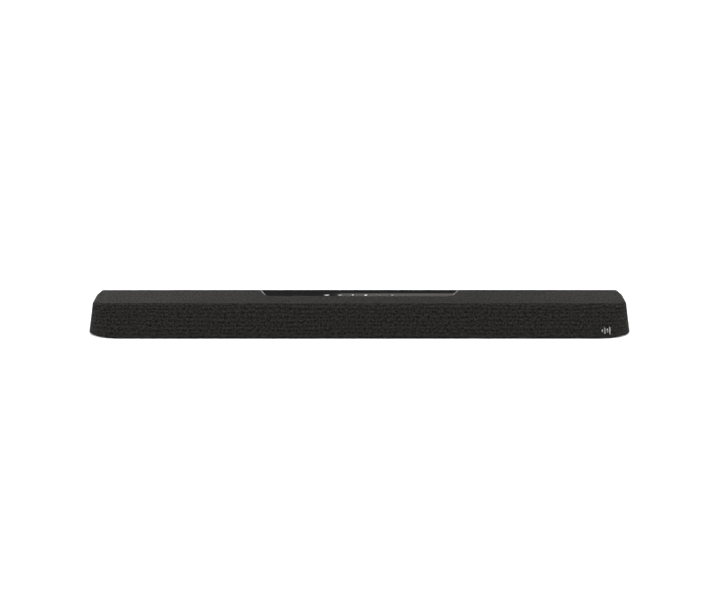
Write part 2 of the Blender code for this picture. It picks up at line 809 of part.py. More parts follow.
def build_power_board():
    top = 11.6
    board = box("power_board", (176, 52, top - 1.6), (300, 78, top), circuit_board())
    fuse(
        board,
        box("transformer", (186, 54, top - 0.5), (212, 76, top + 20), circuit_board()),
        cylinder("capacitor_1", 8, (232, 65, top - 0.5), (232, 65, top + 22), circuit_board(), 14),
        cylinder("capacitor_2", 5, (256, 65, top - 0.5), (256, 65, top + 16), circuit_board(), 12),
        box("choke", (270, 56, top - 0.5), (292, 74, top + 14), circuit_board()),
    )


def build_display():
    """The status display behind the fabric: a small board with a block of lamps on it."""
    empty = seat("display_seat", front_point(DISPLAY_X_MM, BAFFLE_MID_MM, BAFFLE_MM[0]), FRONT_TURN)
    parts = []
    for name, size, middle in (
        ("display_module", (40, 20, 1.2), 0.9),
        ("display_lamps", (34, 9, 2), 2.3),
    ):
        bm = bmesh.new()
        place = Matrix.Translation((0, 0, middle * MM)) @ Matrix.Diagonal((*(Vector(size) * MM), 1))
        bmesh.ops.create_cube(bm, size=1, matrix=place)
        parts.append(on_seat(finished(bm, name, circuit_board()), empty))
    fuse(parts[0], parts[1])


def build_badge():
    """The badge low on the right of the front: a thin plate with four bars of different heights.

    It sits where the front starts to round into the corner, so it is swung to lie along the curve.
    """
    place = front_point(BADGE_MM[0], BADGE_MM[1], 0) + Vector((0, BADGE_SETBACK_MM * MM, 0))
    empty = seat("badge_seat", place, FRONT_TURN, BADGE_SWING)
    plate = [(3, 0.3, 15.5), (3, 0.9, 15.5)]
    badge = on_seat(turned("front_badge", plate, badge_metal(), 16), empty)
    for n, height in enumerate((4.4, 11, 7.4, 13.2)):
        x = (n - 1.5) * 4.6
        bar = turned(f"badge_bar_{n}", [(1.1, 0.5, height - 2.2), (1.1, 1.5, height - 2.2)], badge_metal(), 12)
        bar.rotation_euler = (0, 0, math.pi / 2)
        bar.location = (x * MM, 0, 0)
        on_seat(bar, empty)
        fuse(badge, bar)


def main():
    places = seats()
    build_fabric()
    build_grille(places)
    build_baffle(places)
    build_bottom()
    build_screws()
    build_rear()
    build_hangers()
    build_sockets()
    build_tray()
    build_buttons()
    build_keypad()
    build_main_board()
    build_power_board()
    build_display()
    build_badge()
    for n, empty in enumerate(places["woofer"], 1):
        build_woofer(n, empty)
    for n, empty in enumerate(places["elevation"], 1):
        build_elevation_driver(n, empty)
    for n, empty in enumerate(places["tweeter"], 1):
        build_tweeter(n, empty)


main()
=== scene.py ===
"""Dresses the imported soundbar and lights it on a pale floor.

The frame gives every CAD node in its place, in metres: +X is the listener's right, -Y the front and
+Z up. Each sub-assembly below is a class that reads its places from the frame's nodes, builds its
pieces with bmesh operators and dresses them in one of the finishes.
"""

from __future__ import annotations

import json
import logging
import math
from collections.abc import Iterable, Sequence
from dataclasses import dataclass
from enum import Enum
from functools import lru_cache

import bmesh
import bpy
from mathutils import Matrix, Vector

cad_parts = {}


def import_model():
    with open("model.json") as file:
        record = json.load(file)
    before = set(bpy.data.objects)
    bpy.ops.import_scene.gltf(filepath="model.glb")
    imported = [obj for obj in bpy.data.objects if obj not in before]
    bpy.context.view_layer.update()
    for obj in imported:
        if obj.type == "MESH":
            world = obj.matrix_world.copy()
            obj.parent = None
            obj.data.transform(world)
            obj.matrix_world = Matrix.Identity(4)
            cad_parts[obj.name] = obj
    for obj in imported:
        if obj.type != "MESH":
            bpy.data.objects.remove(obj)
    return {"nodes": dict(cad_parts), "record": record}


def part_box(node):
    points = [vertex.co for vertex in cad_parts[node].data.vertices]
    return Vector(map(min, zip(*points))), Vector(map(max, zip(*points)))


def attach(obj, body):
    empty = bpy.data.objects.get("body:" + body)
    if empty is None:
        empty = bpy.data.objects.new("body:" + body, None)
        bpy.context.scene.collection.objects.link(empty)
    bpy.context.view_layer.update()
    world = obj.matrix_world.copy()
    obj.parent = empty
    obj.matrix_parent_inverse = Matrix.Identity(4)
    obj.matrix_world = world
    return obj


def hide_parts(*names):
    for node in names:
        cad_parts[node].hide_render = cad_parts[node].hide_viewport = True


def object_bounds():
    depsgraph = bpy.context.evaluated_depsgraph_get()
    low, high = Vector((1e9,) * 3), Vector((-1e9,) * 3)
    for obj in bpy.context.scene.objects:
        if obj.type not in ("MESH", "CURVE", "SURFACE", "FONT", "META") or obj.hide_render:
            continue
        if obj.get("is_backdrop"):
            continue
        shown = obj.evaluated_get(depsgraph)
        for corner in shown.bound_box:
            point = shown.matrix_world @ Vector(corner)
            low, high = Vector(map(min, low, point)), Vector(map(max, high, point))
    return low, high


LOG = logging.getLogger("soundbar")
MM = 0.001
HOUSING = "housing"
NEAR = 1e-6
SHARP = math.radians(38.0)
Colour = tuple[float, float, float]
Pair = tuple[float, float]


class Axis(Enum):
    """A direction of the frame."""

    BACK = (0.0, 1.0, 0.0)
    UP = (0.0, 0.0, 1.0)


class Symbol(Enum):
    """What a button's raised mark says."""

    POWER = "power"
    INPUT = "input"
    LINK = "link"
    MODE = "mode"
    MINUS = "volume_down"
    PLUS = "volume_up"


# ---- Shader wiring ----


class Wiring:
    """A node tree with short calls for the nodes that the finishes use."""

    def __init__(self, tree: bpy.types.NodeTree) -> None:
        """Keeps the tree.

        Args:
            tree: The material's or the group's node tree.
        """
        self.tree = tree

    def node(self, kind: str, **settings: object) -> bpy.types.Node:
        """Adds a node.

        Args:
            kind: The node's type, without its ShaderNode prefix.
            settings: Properties to set on it.

        Returns:
            The node.
        """
        made = self.tree.nodes.new("ShaderNode" + kind)
        for name, value in settings.items():
            setattr(made, name, value)
        return made

    def feed(self, socket: bpy.types.NodeSocket, value: object) -> None:
        """Links a socket into an input, or sets the input to a plain value.

        Args:
            socket: The input.
            value: Another node's output, a number, or a tuple of numbers.
        """
        if isinstance(value, bpy.types.NodeSocket):
            self.tree.links.new(value, socket)
        else:
            socket.default_value = value

    def fill(self, node: bpy.types.Node, **values: object) -> bpy.types.NodeSocket:
        """Feeds a node's inputs.

        Args:
            node: The node.
            values: What each input gets, by its name with _ for each space.

        Returns:
            The node's first output.
        """
        for name, value in values.items():
            self.feed(node.inputs[name.replace("_", " ")], value)
        return node.outputs[0]

    def math(self, operation: str, *values: object) -> bpy.types.NodeSocket:
        """Adds a Math node.

        Args:
            operation: The sum's name, such as ADD.
            values: Its inputs, in order.

        Returns:
            The result.
        """
        made = self.node("Math", operation=operation)
        for socket, value in zip(made.inputs, values):
            self.feed(socket, value)
        return made.outputs[0]

    def scaled(self, vector: bpy.types.NodeSocket, by: Sequence[float]) -> bpy.types.NodeSocket:
        """Multiplies a vector by another, axis by axis.

        Args:
            vector: The coordinates.
            by: The factor for each axis.

        Returns:
            The scaled coordinates.
        """
        made = self.node("VectorMath", operation="MULTIPLY")
        self.feed(made.inputs[0], vector)
        made.inputs[1].default_value = by
        return made.outputs[0]

    def noise(
        self, vector: bpy.types.NodeSocket, scale: object, detail: float = 2.0, rough: float = 0.5
    ) -> bpy.types.NodeSocket:
        """Adds a Noise texture.

        Args:
            vector: The coordinates.
            scale: Its features for each unit, or the socket that says it.
            detail: Its octaves.
            rough: How strong the finer octaves are.

        Returns:
            The noise, around a half.
        """
        made = self.node("TexNoise")
        return self.fill(made, Vector=vector, Scale=scale, Detail=detail, Roughness=rough)

    def spread(
        self, value: bpy.types.NodeSocket, low: float, high: float, to_low: float, to_high: float
    ) -> bpy.types.NodeSocket:
        """Maps one range of a value to another, with its ends held.

        Args:
            value: What is mapped.
            low: The start of its range.
            high: The end of its range.
            to_low: What the start becomes.
            to_high: What the end becomes.

        Returns:
            The mapped value.
        """
        made = self.node("MapRange", clamp=True)
        for socket, item in zip(made.inputs, (value, low, high, to_low, to_high)):
            self.feed(socket, item)
        return made.outputs[0]

    def blend(self, share: object, first: object, second: object) -> bpy.types.NodeSocket:
        """Mixes two colours.

        Args:
            share: How much of the second there is.
            first: The first colour, or the socket it comes from.
            second: The second colour, or the socket it comes from.

        Returns:
            The mixed colour.
        """
        made = self.node("Mix", data_type="RGBA", clamp_factor=True)
        self.feed(made.inputs[0], share)
        for socket, value in ((made.inputs[6], first), (made.inputs[7], second)):
            self.feed(socket, value if isinstance(value, bpy.types.NodeSocket) else (*value, 1.0))
        return made.outputs[2]

    def bump(
        self, height: bpy.types.NodeSocket, distance: float, strength: float = 1.0
    ) -> bpy.types.NodeSocket:
        """Adds a Bump node.

        Args:
            height: The height, from 0 to 1.
            distance: How far 1 stands proud, in metres.
            strength: How much of the bump is seen.

        Returns:
            The normal.
        """
        return self.fill(self.node("Bump"), Height=height, Distance=distance, Strength=strength)

    def object_place(self) -> bpy.types.NodeSocket:
        """Returns the piece's own coordinates, in metres."""
        return self.node("TexCoord").outputs["Object"]

    def group(self, tree: bpy.types.NodeTree, **values: object) -> bpy.types.Node:
        """Places a shader group.

        Args:
            tree: The group.
            values: Its inputs by name, with _ for each space.

        Returns:
            The group's node.
        """
        made = self.node("Group", node_tree=tree)
        self.fill(made, **values)
        return made


def new_group(
    name: str, inputs: dict[str, tuple[str, object]], outputs: dict[str, str]
) -> tuple[Wiring, bpy.types.Node, bpy.types.Node]:
    """Starts a shader group with named sockets.

    Args:
        name: The group's name.
        inputs: The kind and default of each input.
        outputs: The kind of each output.

    Returns:
        The wiring, the node its inputs come from and the node its outputs go to.
    """
    tree = bpy.data.node_groups.new(name, "ShaderNodeTree")
    for label, (kind, default) in inputs.items():
        socket = tree.interface.new_socket(label, in_out="INPUT", socket_type="NodeSocket" + kind)
        if default is not None:
            socket.default_value = default
    for label, kind in outputs.items():
        tree.interface.new_socket(label, in_out="OUTPUT", socket_type="NodeSocket" + kind)
    given, made = (tree.nodes.new(kind) for kind in ("NodeGroupInput", "NodeGroupOutput"))
    return Wiring(tree), given, made


@lru_cache(maxsize=None)
def weave_group() -> bpy.types.NodeTree:
    """Returns the plain weave: how high each thread stands."""
    wiring, given, made = new_group(
        "plain_weave",
        {"Coordinates": ("Vector", None), "Threads": ("Float", 1000.0)},
        {"Height": "Float"},
    )
    scale = wiring.node("VectorMath", operation="SCALE")
    wiring.feed(scale.inputs[0], given.outputs["Coordinates"])
    wiring.feed(scale.inputs["Scale"], given.outputs["Threads"])
    parts = wiring.node("SeparateXYZ")
    wiring.feed(parts.inputs[0], scale.outputs[0])
    across, along = parts.outputs[0], parts.outputs[1]
    rounds = []
    for value in (across, along):
        turn = wiring.math("MULTIPLY", wiring.math("FRACT", value), math.pi)
        rounds.append(wiring.math("SINE", turn))
    whole = wiring.math("ADD", wiring.math("FLOOR", across), wiring.math("FLOOR", along))
    warp = wiring.math("MODULO", wiring.math("ABSOLUTE", whole), 2.0)
    heights = []
    for first, second in (rounds, rounds[::-1]):
        swell = wiring.math("MULTIPLY_ADD", second, 0.55, 0.45)
        heights.append(wiring.math("MULTIPLY", first, swell))
    rise = wiring.math("SUBTRACT", heights[0], heights[1])
    height = wiring.math("MULTIPLY_ADD", rise, warp, heights[1])
    wiring.feed(made.inputs["Height"], height)
    return wiring.tree


@lru_cache(maxsize=None)
def grain_group() -> bpy.types.NodeTree:
    """Returns the fine grain of a moulded or painted surface, with a slow variation over it."""
    wiring, given, made = new_group(
        "fine_grain",
        {"Coordinates": ("Vector", None), "Grains": ("Float", 900.0), "Patches": ("Float", 18.0)},
        {"Height": "Float", "Patch": "Float"},
    )
    for label, detail, output in (("Grains", 2.0, "Height"), ("Patches", 4.0, "Patch")):
        noise = wiring.noise(given.outputs["Coordinates"], given.outputs[label], detail)
        wiring.feed(made.inputs[output], noise)
    return wiring.tree


@lru_cache(maxsize=None)
def streak_group() -> bpy.types.NodeTree:
    """Returns fine parallel streaks along X, as brushing or rolling leaves them."""
    wiring, given, made = new_group(
        "fine_streaks",
        {"Coordinates": ("Vector", None), "Streaks": ("Float", 2500.0)},
        {"Height": "Float"},
    )
    drawn_out = wiring.scaled(given.outputs["Coordinates"], (0.02, 1.0, 1.0))
    wiring.feed(made.inputs["Height"], wiring.noise(drawn_out, given.outputs["Streaks"], 3.0))
    return wiring.tree


# ---- Finishes ----

_MADE: dict[str, bpy.types.Material] = {}


@dataclass(frozen=True)
class Finish:
    """A finish: its name, the record's slot it belongs to, its colour and its roughness."""

    name: str
    slot: str
    colour: Colour
    roughness: float

    def material(self) -> bpy.types.Material:
        """Returns the finish's material, made on its first use."""
        if self.name not in _MADE:
            made = bpy.data.materials.new(self.name)
            made.use_nodes = True
            colour = (*self.colour, 1.0)
            made.diffuse_color = colour
            shader = made.node_tree.nodes["Principled BSDF"]
            wiring = Wiring(made.node_tree)
            wiring.fill(shader, Base_Color=colour, Roughness=self.roughness)
            self.wire(wiring, shader)
            _MADE[self.name] = made
        return _MADE[self.name]

    def shade(self, factor: float) -> Colour:
        """Returns the colour, darker or lighter by a factor."""
        return tuple(factor * part for part in self.colour)

    def wire(self, wiring: Wiring, shader: bpy.types.Node) -> None:
        """Adds the finish's own nodes.

        Args:
            wiring: The material's tree.
            shader: Its Principled BSDF.
        """
        raise NotImplementedError


@dataclass(frozen=True)
class HeatherCloth(Finish):
    """Acoustic cloth woven from mixed light and dark fibres, on its own UV map in metres.

    Each noise in the yarn has its fineness along the cloth and up it, in features for each metre.
    """

    light: Colour = (0.0445, 0.0435, 0.0415)
    threads: float = 1150.0
    slub: Pair = (190.0, 480.0)
    fleck: Pair = (520.0, 620.0)
    clump: Pair = (340.0, 200.0)
    nap: Pair = (360.0, 170.0)
    ripples: float = 42.0
    top_start: float = 0.066
    top_nap: float = 2.6
    contrast: Pair = (1.09, 1.62)
    lump: float = 0.0004
    gloss: float = 0.004
    sheen: float = 0.01

    def wire(self, wiring: Wiring, shader: bpy.types.Node) -> None:
        """Adds the weave, with painted shade in the hollows between its threads, the heather and
        the sheen.

        Args:
            wiring: The material's tree.
            shader: Its Principled BSDF.
        """
        place = wiring.node("UVMap", uv_map=ClothMap.NAME).outputs[0]
        weave = wiring.group(weave_group(), Coordinates=place, Threads=self.threads)
        height = weave.outputs["Height"]
        slub, fleck, clump, nap = (
            wiring.noise(wiring.scaled(place, (*fineness, 1.0)), 1.0, detail, 0.6)
            for fineness, detail in zip((self.slub, self.fleck, self.clump, self.nap), (3, 2, 2, 2))
        )
        mixed = wiring.math("MULTIPLY_ADD", slub, 0.9, wiring.math("MULTIPLY", fleck, 0.9))
        mixed = wiring.math("MULTIPLY_ADD", clump, 0.8, mixed)
        mixed = wiring.math("MULTIPLY_ADD", self.rippled(wiring, place), 0.10, mixed)
        parts = wiring.node("SeparateXYZ")
        wiring.feed(parts.inputs[0], place)
        start = self.top_start
        on_top = wiring.spread(parts.outputs[1], start, start + 0.002, 0.0, self.top_nap)
        mixed = wiring.math("MULTIPLY_ADD", wiring.math("SUBTRACT", nap, 0.5), on_top, mixed)
        share = wiring.spread(mixed, *self.contrast, 0.0, 1.0)
        # The colour is multiplied down towards each thread's edges and into the hollows between
        # threads: painted shade.
        shade = wiring.node("Mix", data_type="RGBA", blend_type="MULTIPLY")
        shade.inputs[0].default_value = 1.0
        wiring.feed(shade.inputs[6], wiring.blend(share, self.colour, self.light))
        wiring.feed(shade.inputs[7], wiring.spread(height, 0.0, 0.75, 0.45, 1.0))
        lumps = wiring.math("MULTIPLY_ADD", mixed, 1.4, wiring.math("MULTIPLY", height, 0.5))
        low, high = self.roughness - 0.1, self.roughness + 0.14
        wiring.fill(
            shader,
            Base_Color=shade.outputs[2],
            Roughness=wiring.spread(nap, 0.35, 0.65, low, high),
            Normal=wiring.bump(lumps, self.lump, 0.8),
            Specular_IOR_Level=self.gloss,
            Sheen_Weight=self.sheen,
            Sheen_Roughness=0.4,
        )

    def rippled(self, wiring: Wiring, place: bpy.types.NodeSocket) -> bpy.types.NodeSocket:
        """Returns the faint, wandering courses that run along the cloth.

        Args:
            wiring: The material's tree.
            place: The cloth's coordinates.
        """
        ripple = wiring.node("TexWave", wave_type="BANDS", bands_direction="Y", wave_profile="SIN")
        drawn_out = wiring.scaled(place, (0.25, 1.0, 1.0))
        wiring.fill(ripple, Vector=drawn_out, Scale=self.ripples, Distortion=6.0)
        wiring.fill(ripple, Detail=2.0, Detail_Scale=0.6)
        return ripple.outputs[1]


@dataclass(frozen=True)
class MouldedPlastic(Finish):
    """Plastic from a spark-textured mould."""

    grains: float = 1400.0
    depth: float = 0.00004

    def wire(self, wiring: Wiring, shader: bpy.types.Node) -> None:
        """Adds the grain, and a slow change of gloss.

        Args:
            wiring: The material's tree.
            shader: Its Principled BSDF.
        """
        grain = wiring.group(
            grain_group(), Coordinates=wiring.object_place(), Grains=self.grains, Patches=14.0
        )
        height, patch = grain.outputs["Height"], grain.outputs["Patch"]
        share = wiring.spread(height, 0.35, 0.65, 0.0, 1.0)
        low, high = self.roughness - 0.06, self.roughness + 0.06
        wiring.fill(
            shader,
            Base_Color=wiring.blend(share, self.shade(0.7), self.shade(1.3)),
            Roughness=wiring.spread(patch, 0.35, 0.65, low, high),
            Normal=wiring.bump(height, self.depth, 0.8),
            Specular_IOR_Level=0.42,
        )


@dataclass(frozen=True)
class PianoBlack(Finish):
    """Polished black plastic with faint wiping marks and a few specks of dust."""

    dust: Colour = (0.12, 0.115, 0.11)

    def wire(self, wiring: Wiring, shader: bpy.types.Node) -> None:
        """Adds the marks and the specks.

        Args:
            wiring: The material's tree.
            shader: Its Principled BSDF.
        """
        place = wiring.object_place()
        wiped = wiring.noise(wiring.scaled(place, (30.0, 110.0, 30.0)), 1.0, 4.0, 0.6)
        speck = wiring.noise(place, 1900.0, 1.0)
        dust = wiring.spread(speck, 0.70, 0.76, 0.0, 1.0)
        gloss = wiring.spread(wiped, 0.3, 0.7, self.roughness * 0.7, self.roughness * 1.5)
        wiring.fill(
            shader,
            Base_Color=wiring.blend(wiring.math("MULTIPLY", dust, 0.3), self.colour, self.dust),
            Roughness=wiring.math("MULTIPLY_ADD", dust, 0.3, gloss),
        )


@dataclass(frozen=True)
class Metal(Finish):
    """Bare or plated metal with fine streaks along X."""

    streaks: float = 6000.0
    depth: float = 0.000004

    def wire(self, wiring: Wiring, shader: bpy.types.Node) -> None:
        """Adds the streaks, and a slow change of gloss.

        Args:
            wiring: The material's tree.
            shader: Its Principled BSDF.
        """
        place = wiring.object_place()
        streak = wiring.group(streak_group(), Coordinates=place, Streaks=self.streaks)
        height = streak.outputs["Height"]
        patch = wiring.noise(place, 60.0, 3.0)
        low, high = self.roughness * 0.85, self.roughness * 1.15
        wiring.fill(
            shader,
            Base_Color=wiring.blend(patch, self.shade(0.82), self.colour),
            Roughness=wiring.spread(height, 0.3, 0.7, low, high),
            Normal=wiring.bump(height, self.depth, 0.5),
            Metallic=1.0,
        )


@dataclass(frozen=True)
class SoftRubber(Finish):
    """Matt rubber with a bloom of fine dust."""

    def wire(self, wiring: Wiring, shader: bpy.types.Node) -> None:
        """Adds the bloom and the fine grain.

        Args:
            wiring: The material's tree.
            shader: Its Principled BSDF.
        """
        grain = wiring.group(
            grain_group(), Coordinates=wiring.object_place(), Grains=2200.0, Patches=70.0
        )
        bloom = wiring.spread(grain.outputs["Patch"], 0.4, 0.75, 0.0, 1.0)
        wiring.fill(
            shader,
            Base_Color=wiring.blend(bloom, self.colour, tuple(c + 0.03 for c in self.colour)),
            Roughness=wiring.spread(bloom, 0.0, 1.0, 0.75, 0.95),
            Normal=wiring.bump(grain.outputs["Height"], 0.00003, 0.7),
        )


@dataclass(frozen=True)
class CircuitBoard(Finish):
    """Solder mask over copper tracks, with bare pads."""

    def wire(self, wiring: Wiring, shader: bpy.types.Node) -> None:
        """Adds the tracks and the pads.

        Args:
            wiring: The material's tree.
            shader: Its Principled BSDF.
        """
        place = wiring.object_place()
        tracks = wiring.node("TexBrick", offset=0.5, squash=1.0)
        fine = wiring.scaled(place, (160.0, 400.0, 160.0))
        wiring.fill(tracks, Vector=fine, Scale=1.0, Mortar_Size=0.06)
        pads = wiring.node("TexVoronoi", distance="CHEBYCHEV")
        wiring.fill(pads, Vector=place, Scale=260.0, Randomness=0.75)
        pad = wiring.math("LESS_THAN", pads.outputs["Distance"], 0.13)
        mask = wiring.blend(tracks.outputs["Fac"], self.colour, self.shade(1.9))
        wiring.fill(
            shader,
            Base_Color=wiring.blend(pad, mask, (0.75, 0.72, 0.66)),
            Metallic=pad,
            Normal=wiring.bump(tracks.outputs["Fac"], 0.00003, 0.6),
        )


@dataclass(frozen=True)
class FibrePulp(Finish):
    """Pressed fibres or doped cloth, as a driver's cone or dome."""

    fibres: float = 700.0

    def wire(self, wiring: Wiring, shader: bpy.types.Node) -> None:
        """Adds the fibres.

        Args:
            wiring: The material's tree.
            shader: Its Principled BSDF.
        """
        fibres = wiring.noise(wiring.object_place(), self.fibres, 5.0, 0.75)
        share = wiring.spread(fibres, 0.45, 0.75, 0.0, 1.0)
        wiring.fill(
            shader,
            Base_Color=wiring.blend(share, self.colour, self.shade(1.9)),
            Normal=wiring.bump(fibres, 0.00008, 0.7),
        )


CLOTH = HeatherCloth("heather_cloth", "acoustic_fabric", (0.0015, 0.00148, 0.00145), 0.42)
BLACK_PLASTIC = MouldedPlastic("textured_black", "matte_black", (0.016, 0.016, 0.016), 0.55)
FRAME_PLASTIC = MouldedPlastic("driver_frame_black", "driver_frame", (0.025, 0.025, 0.025), 0.5)
GLOSS_PLASTIC = PianoBlack("piano_black", "gloss_black", (0.006, 0.006, 0.006), 0.07)
FOOT_RUBBER = SoftRubber("foot_rubber", "rubber", (0.018, 0.018, 0.018), 0.85)
PLATED_STEEL = Metal("plated_steel", "zinc_steel", (0.56, 0.56, 0.54), 0.3)
BARE_ALUMINIUM = Metal("extruded_aluminium", "aluminium", (0.64, 0.64, 0.65), 0.38)
GREEN_BOARD = CircuitBoard("green_board", "circuit_board", (0.012, 0.075, 0.03), 0.4)
CONE_PULP = FibrePulp("black_pulp", "cone_paper", (0.03, 0.03, 0.031), 0.85)
DOME_CLOTH = FibrePulp("coated_silk", "dome_silk", (0.02, 0.02, 0.024), 0.55, 2400.0)
GILT = Metal("gilt_contacts", "zinc_steel", (0.83, 0.60, 0.24), 0.25)
SATIN_SILVER = Metal("satin_silver", "badge_metal", (0.86, 0.86, 0.85), 0.34)


# ---- Shapes ----


def edges_of(verts: Iterable[bmesh.types.BMVert]) -> list[bmesh.types.BMEdge]:
    """Returns each edge that touches these vertices, once, in a steady order."""
    found = {edge: None for vert in verts for edge in vert.link_edges}
    return list(found)


def soften(
    bm: bmesh.types.BMesh, edges: Sequence[bmesh.types.BMEdge], radius: float, segments: int = 3
) -> None:
    """Rounds edges over.

    Args:
        bm: The mesh.
        edges: The edges.
        radius: How far from the edge the rounding starts.
        segments: Its steps.
    """
    bmesh.ops.bevel(
        bm,
        geom=list(edges),
        offset=radius,
        offset_type="OFFSET",
        segments=segments,
        profile=0.5,
        affect="EDGES",
        clamp_overlap=True,
        material=-1,
    )


def block(
    bm: bmesh.types.BMesh,
    size: Sequence[float],
    centre: Sequence[float],
    radius: float = 0.0,
    turn: Matrix | None = None,
) -> None:
    """Adds a box with softened edges.

    Args:
        bm: The mesh.
        size: Its sides.
        centre: Its middle.
        radius: How far its edges are rounded.
        turn: A turn about its middle.
    """
    place = Matrix.Translation(centre) @ (turn or Matrix.Identity(4))
    made = bmesh.ops.create_cube(bm, size=1.0, matrix=place @ Matrix.Diagonal((*size, 1.0)))
    if radius > 0.0:
        soften(bm, edges_of(made["verts"]), radius, 2)


def turned(
    bm: bmesh.types.BMesh,
    profile: Sequence[Pair],
    place: Matrix,
    steps: int = 40,
    angle: float = math.tau,
    closed: bool = False,
) -> None:
    """Spins a profile of (radius, height) points about its own Z axis.

    Args:
        bm: The mesh.
        profile: The points, from one end to the other.
        place: Where the axis goes.
        steps: How many steps the spin takes.
        angle: How far it goes round.
        closed: Whether the last point joins the first, as on a ring.
    """
    points = [bm.verts.new((radius, 0.0, height)) for radius, height in profile]
    pairs = list(zip(points, points[1:]))
    if closed:
        pairs.append((points[-1], points[0]))
    edges = [bm.edges.new(pair) for pair in pairs]
    before = set(bm.verts) - set(points)
    full = abs(angle - math.tau) < NEAR
    made = bmesh.ops.spin(
        bm,
        geom=points + edges,
        cent=(0.0, 0.0, 0.0),
        axis=Axis.UP.value,
        dvec=(0.0, 0.0, 0.0),
        angle=angle,
        steps=steps,
        use_merge=full,
        use_duplicate=False,
    )
    if not full and closed:
        last = [item for item in made["geom_last"] if isinstance(item, bmesh.types.BMEdge)]
        for ring in (edges, last):
            bmesh.ops.edgeloop_fill(bm, edges=ring)
    fresh = [vert for vert in bm.verts if vert not in before]
    bmesh.ops.transform(bm, matrix=place, verts=fresh)
    bmesh.ops.remove_doubles(bm, verts=fresh, dist=1e-7)


def arc(
    bm: bmesh.types.BMesh,
    centre: Vector,
    radii: Pair,
    start: float,
    steps: int,
    sweep: float = math.pi / 2,
) -> list[bmesh.types.BMVert]:
    """Adds a part of an ellipse, counter-clockwise from above.

    Args:
        bm: The mesh.
        centre: The ellipse's middle.
        radii: Its half sizes along X and Y.
        start: The angle it starts at.
        steps: How many edges it has.
        sweep: The angle it goes through.

    Returns:
        Its vertices in order.
    """
    before = set(bm.verts)
    first = bm.verts.new(centre + Vector((math.cos(start), math.sin(start), 0.0)) * radii[0])
    bmesh.ops.spin(
        bm,
        geom=[first],
        cent=centre,
        axis=Axis.UP.value,
        dvec=(0.0, 0.0, 0.0),
        angle=sweep,
        steps=steps,
        use_duplicate=False,
    )
    made = [vert for vert in bm.verts if vert not in before]

    def turn(vert: bmesh.types.BMVert) -> float:
        """Returns how far round the vertex is, from just before the start."""
        offset = vert.co - centre
        return (math.atan2(offset.y, offset.x) - start + 0.1) % math.tau

    made.sort(key=turn)
    squeeze = (1.0, radii[1] / radii[0], 1.0)
    bmesh.ops.scale(bm, vec=squeeze, space=Matrix.Translation(-centre), verts=made)
    return made


def stadium(
    bm: bmesh.types.BMesh, straight: float, radius: float, height: float
) -> bmesh.types.BMFace:
    """Adds a flat face with straight sides along X and round ends.

    Args:
        bm: The mesh.
        straight: Half the length of its straight sides.
        radius: The radius of its ends.
        height: Where it lies along Z.

    Returns:
        The face.
    """
    outline = []
    for side, start in ((1.0, -90.0), (-1.0, 90.0)):
        middle = Vector((side * straight, 0.0, height))
        outline += arc(bm, middle, (radius, radius), math.radians(start), 16, math.pi)
    return bm.faces.new(outline)


def pad(
    bm: bmesh.types.BMesh,
    size: Pair,
    levels: Pair,
    edge: float,
    place: Matrix,
) -> None:
    """Adds a flat pad with round ends and a softened rim.

    Args:
        bm: The mesh.
        size: Half the length of its straight sides, and the radius of its ends.
        levels: The heights of its two faces.
        edge: How far its upper rim is rounded.
        place: Where it goes.
    """
    own = bmesh.new()
    raised(own, stadium(own, *size, levels[0]), levels[1] - levels[0])
    soften(own, level_edges(own, levels[1]), edge, 3)
    bmesh.ops.recalc_face_normals(own, faces=own.faces)
    bmesh.ops.transform(own, matrix=place, verts=own.verts)
    part = bpy.data.meshes.new("pad")
    own.to_mesh(part)
    own.free()
    bm.from_mesh(part)
    bpy.data.meshes.remove(part)


def raised(
    bm: bmesh.types.BMesh, face: bmesh.types.BMFace, rise: float
) -> tuple[bmesh.types.BMFace, list[bmesh.types.BMVert]]:
    """Extrudes a face straight up or down.

    Args:
        bm: The mesh.
        face: The face.
        rise: How far, upwards above 0.

    Returns:
        The new face and its vertices.
    """
    inner = any(len(edge.link_faces) > 1 for edge in face.edges)
    made = bmesh.ops.extrude_face_region(bm, geom=[face])["geom"]
    if inner:
        bmesh.ops.delete(bm, geom=[face], context="FACES_ONLY")
    verts = [item for item in made if isinstance(item, bmesh.types.BMVert)]
    bmesh.ops.translate(bm, vec=(0.0, 0.0, rise), verts=verts)
    top = next(item for item in made if isinstance(item, bmesh.types.BMFace))
    return top, verts


def level_edges(bm: bmesh.types.BMesh, height: float) -> list[bmesh.types.BMEdge]:
    """Returns the edges that lie at a height."""
    return [e for e in bm.edges if all(abs(v.co.z - height) < NEAR for v in e.verts)]


def as_mesh(bm: bmesh.types.BMesh, name: str, outward: bool = True) -> bpy.types.Mesh:
    """Turns a bmesh into a smooth-shaded mesh with sharp edges kept.

    Args:
        bm: The bmesh, which is freed.
        name: The mesh's name.
        outward: Whether its faces are turned to point out.

    Returns:
        The mesh.
    """
    if outward:
        bmesh.ops.recalc_face_normals(bm, faces=bm.faces)
    mesh = bpy.data.meshes.new(name)
    bm.to_mesh(mesh)
    bm.free()
    mesh.shade_smooth()
    mesh.set_sharp_from_angle(angle=SHARP)
    return mesh


def show(
    name: str,
    mesh: bpy.types.Mesh,
    finish: Finish,
    body: str = HOUSING,
    stands_for: Sequence[str] = (),
) -> bpy.types.Object:
    """Adds a finished piece to the scene.

    Args:
        name: The piece's name.
        mesh: Its mesh, in its place.
        finish: What it is made of.
        body: The CAD body it moves with.
        stands_for: The CAD nodes it takes the place of.

    Returns:
        The piece.
    """
    mesh.materials.clear()
    mesh.materials.append(finish.material())
    piece = bpy.data.objects.new(name, mesh)
    bpy.context.scene.collection.objects.link(piece)
    normals = piece.modifiers.new("flat_faces", "WEIGHTED_NORMAL")
    normals.keep_sharp = True
    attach(piece, body)
    if stands_for:
        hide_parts(*stands_for)
    LOG.info("%s: %d faces in %s", name, len(mesh.polygons), finish.name)
    return piece


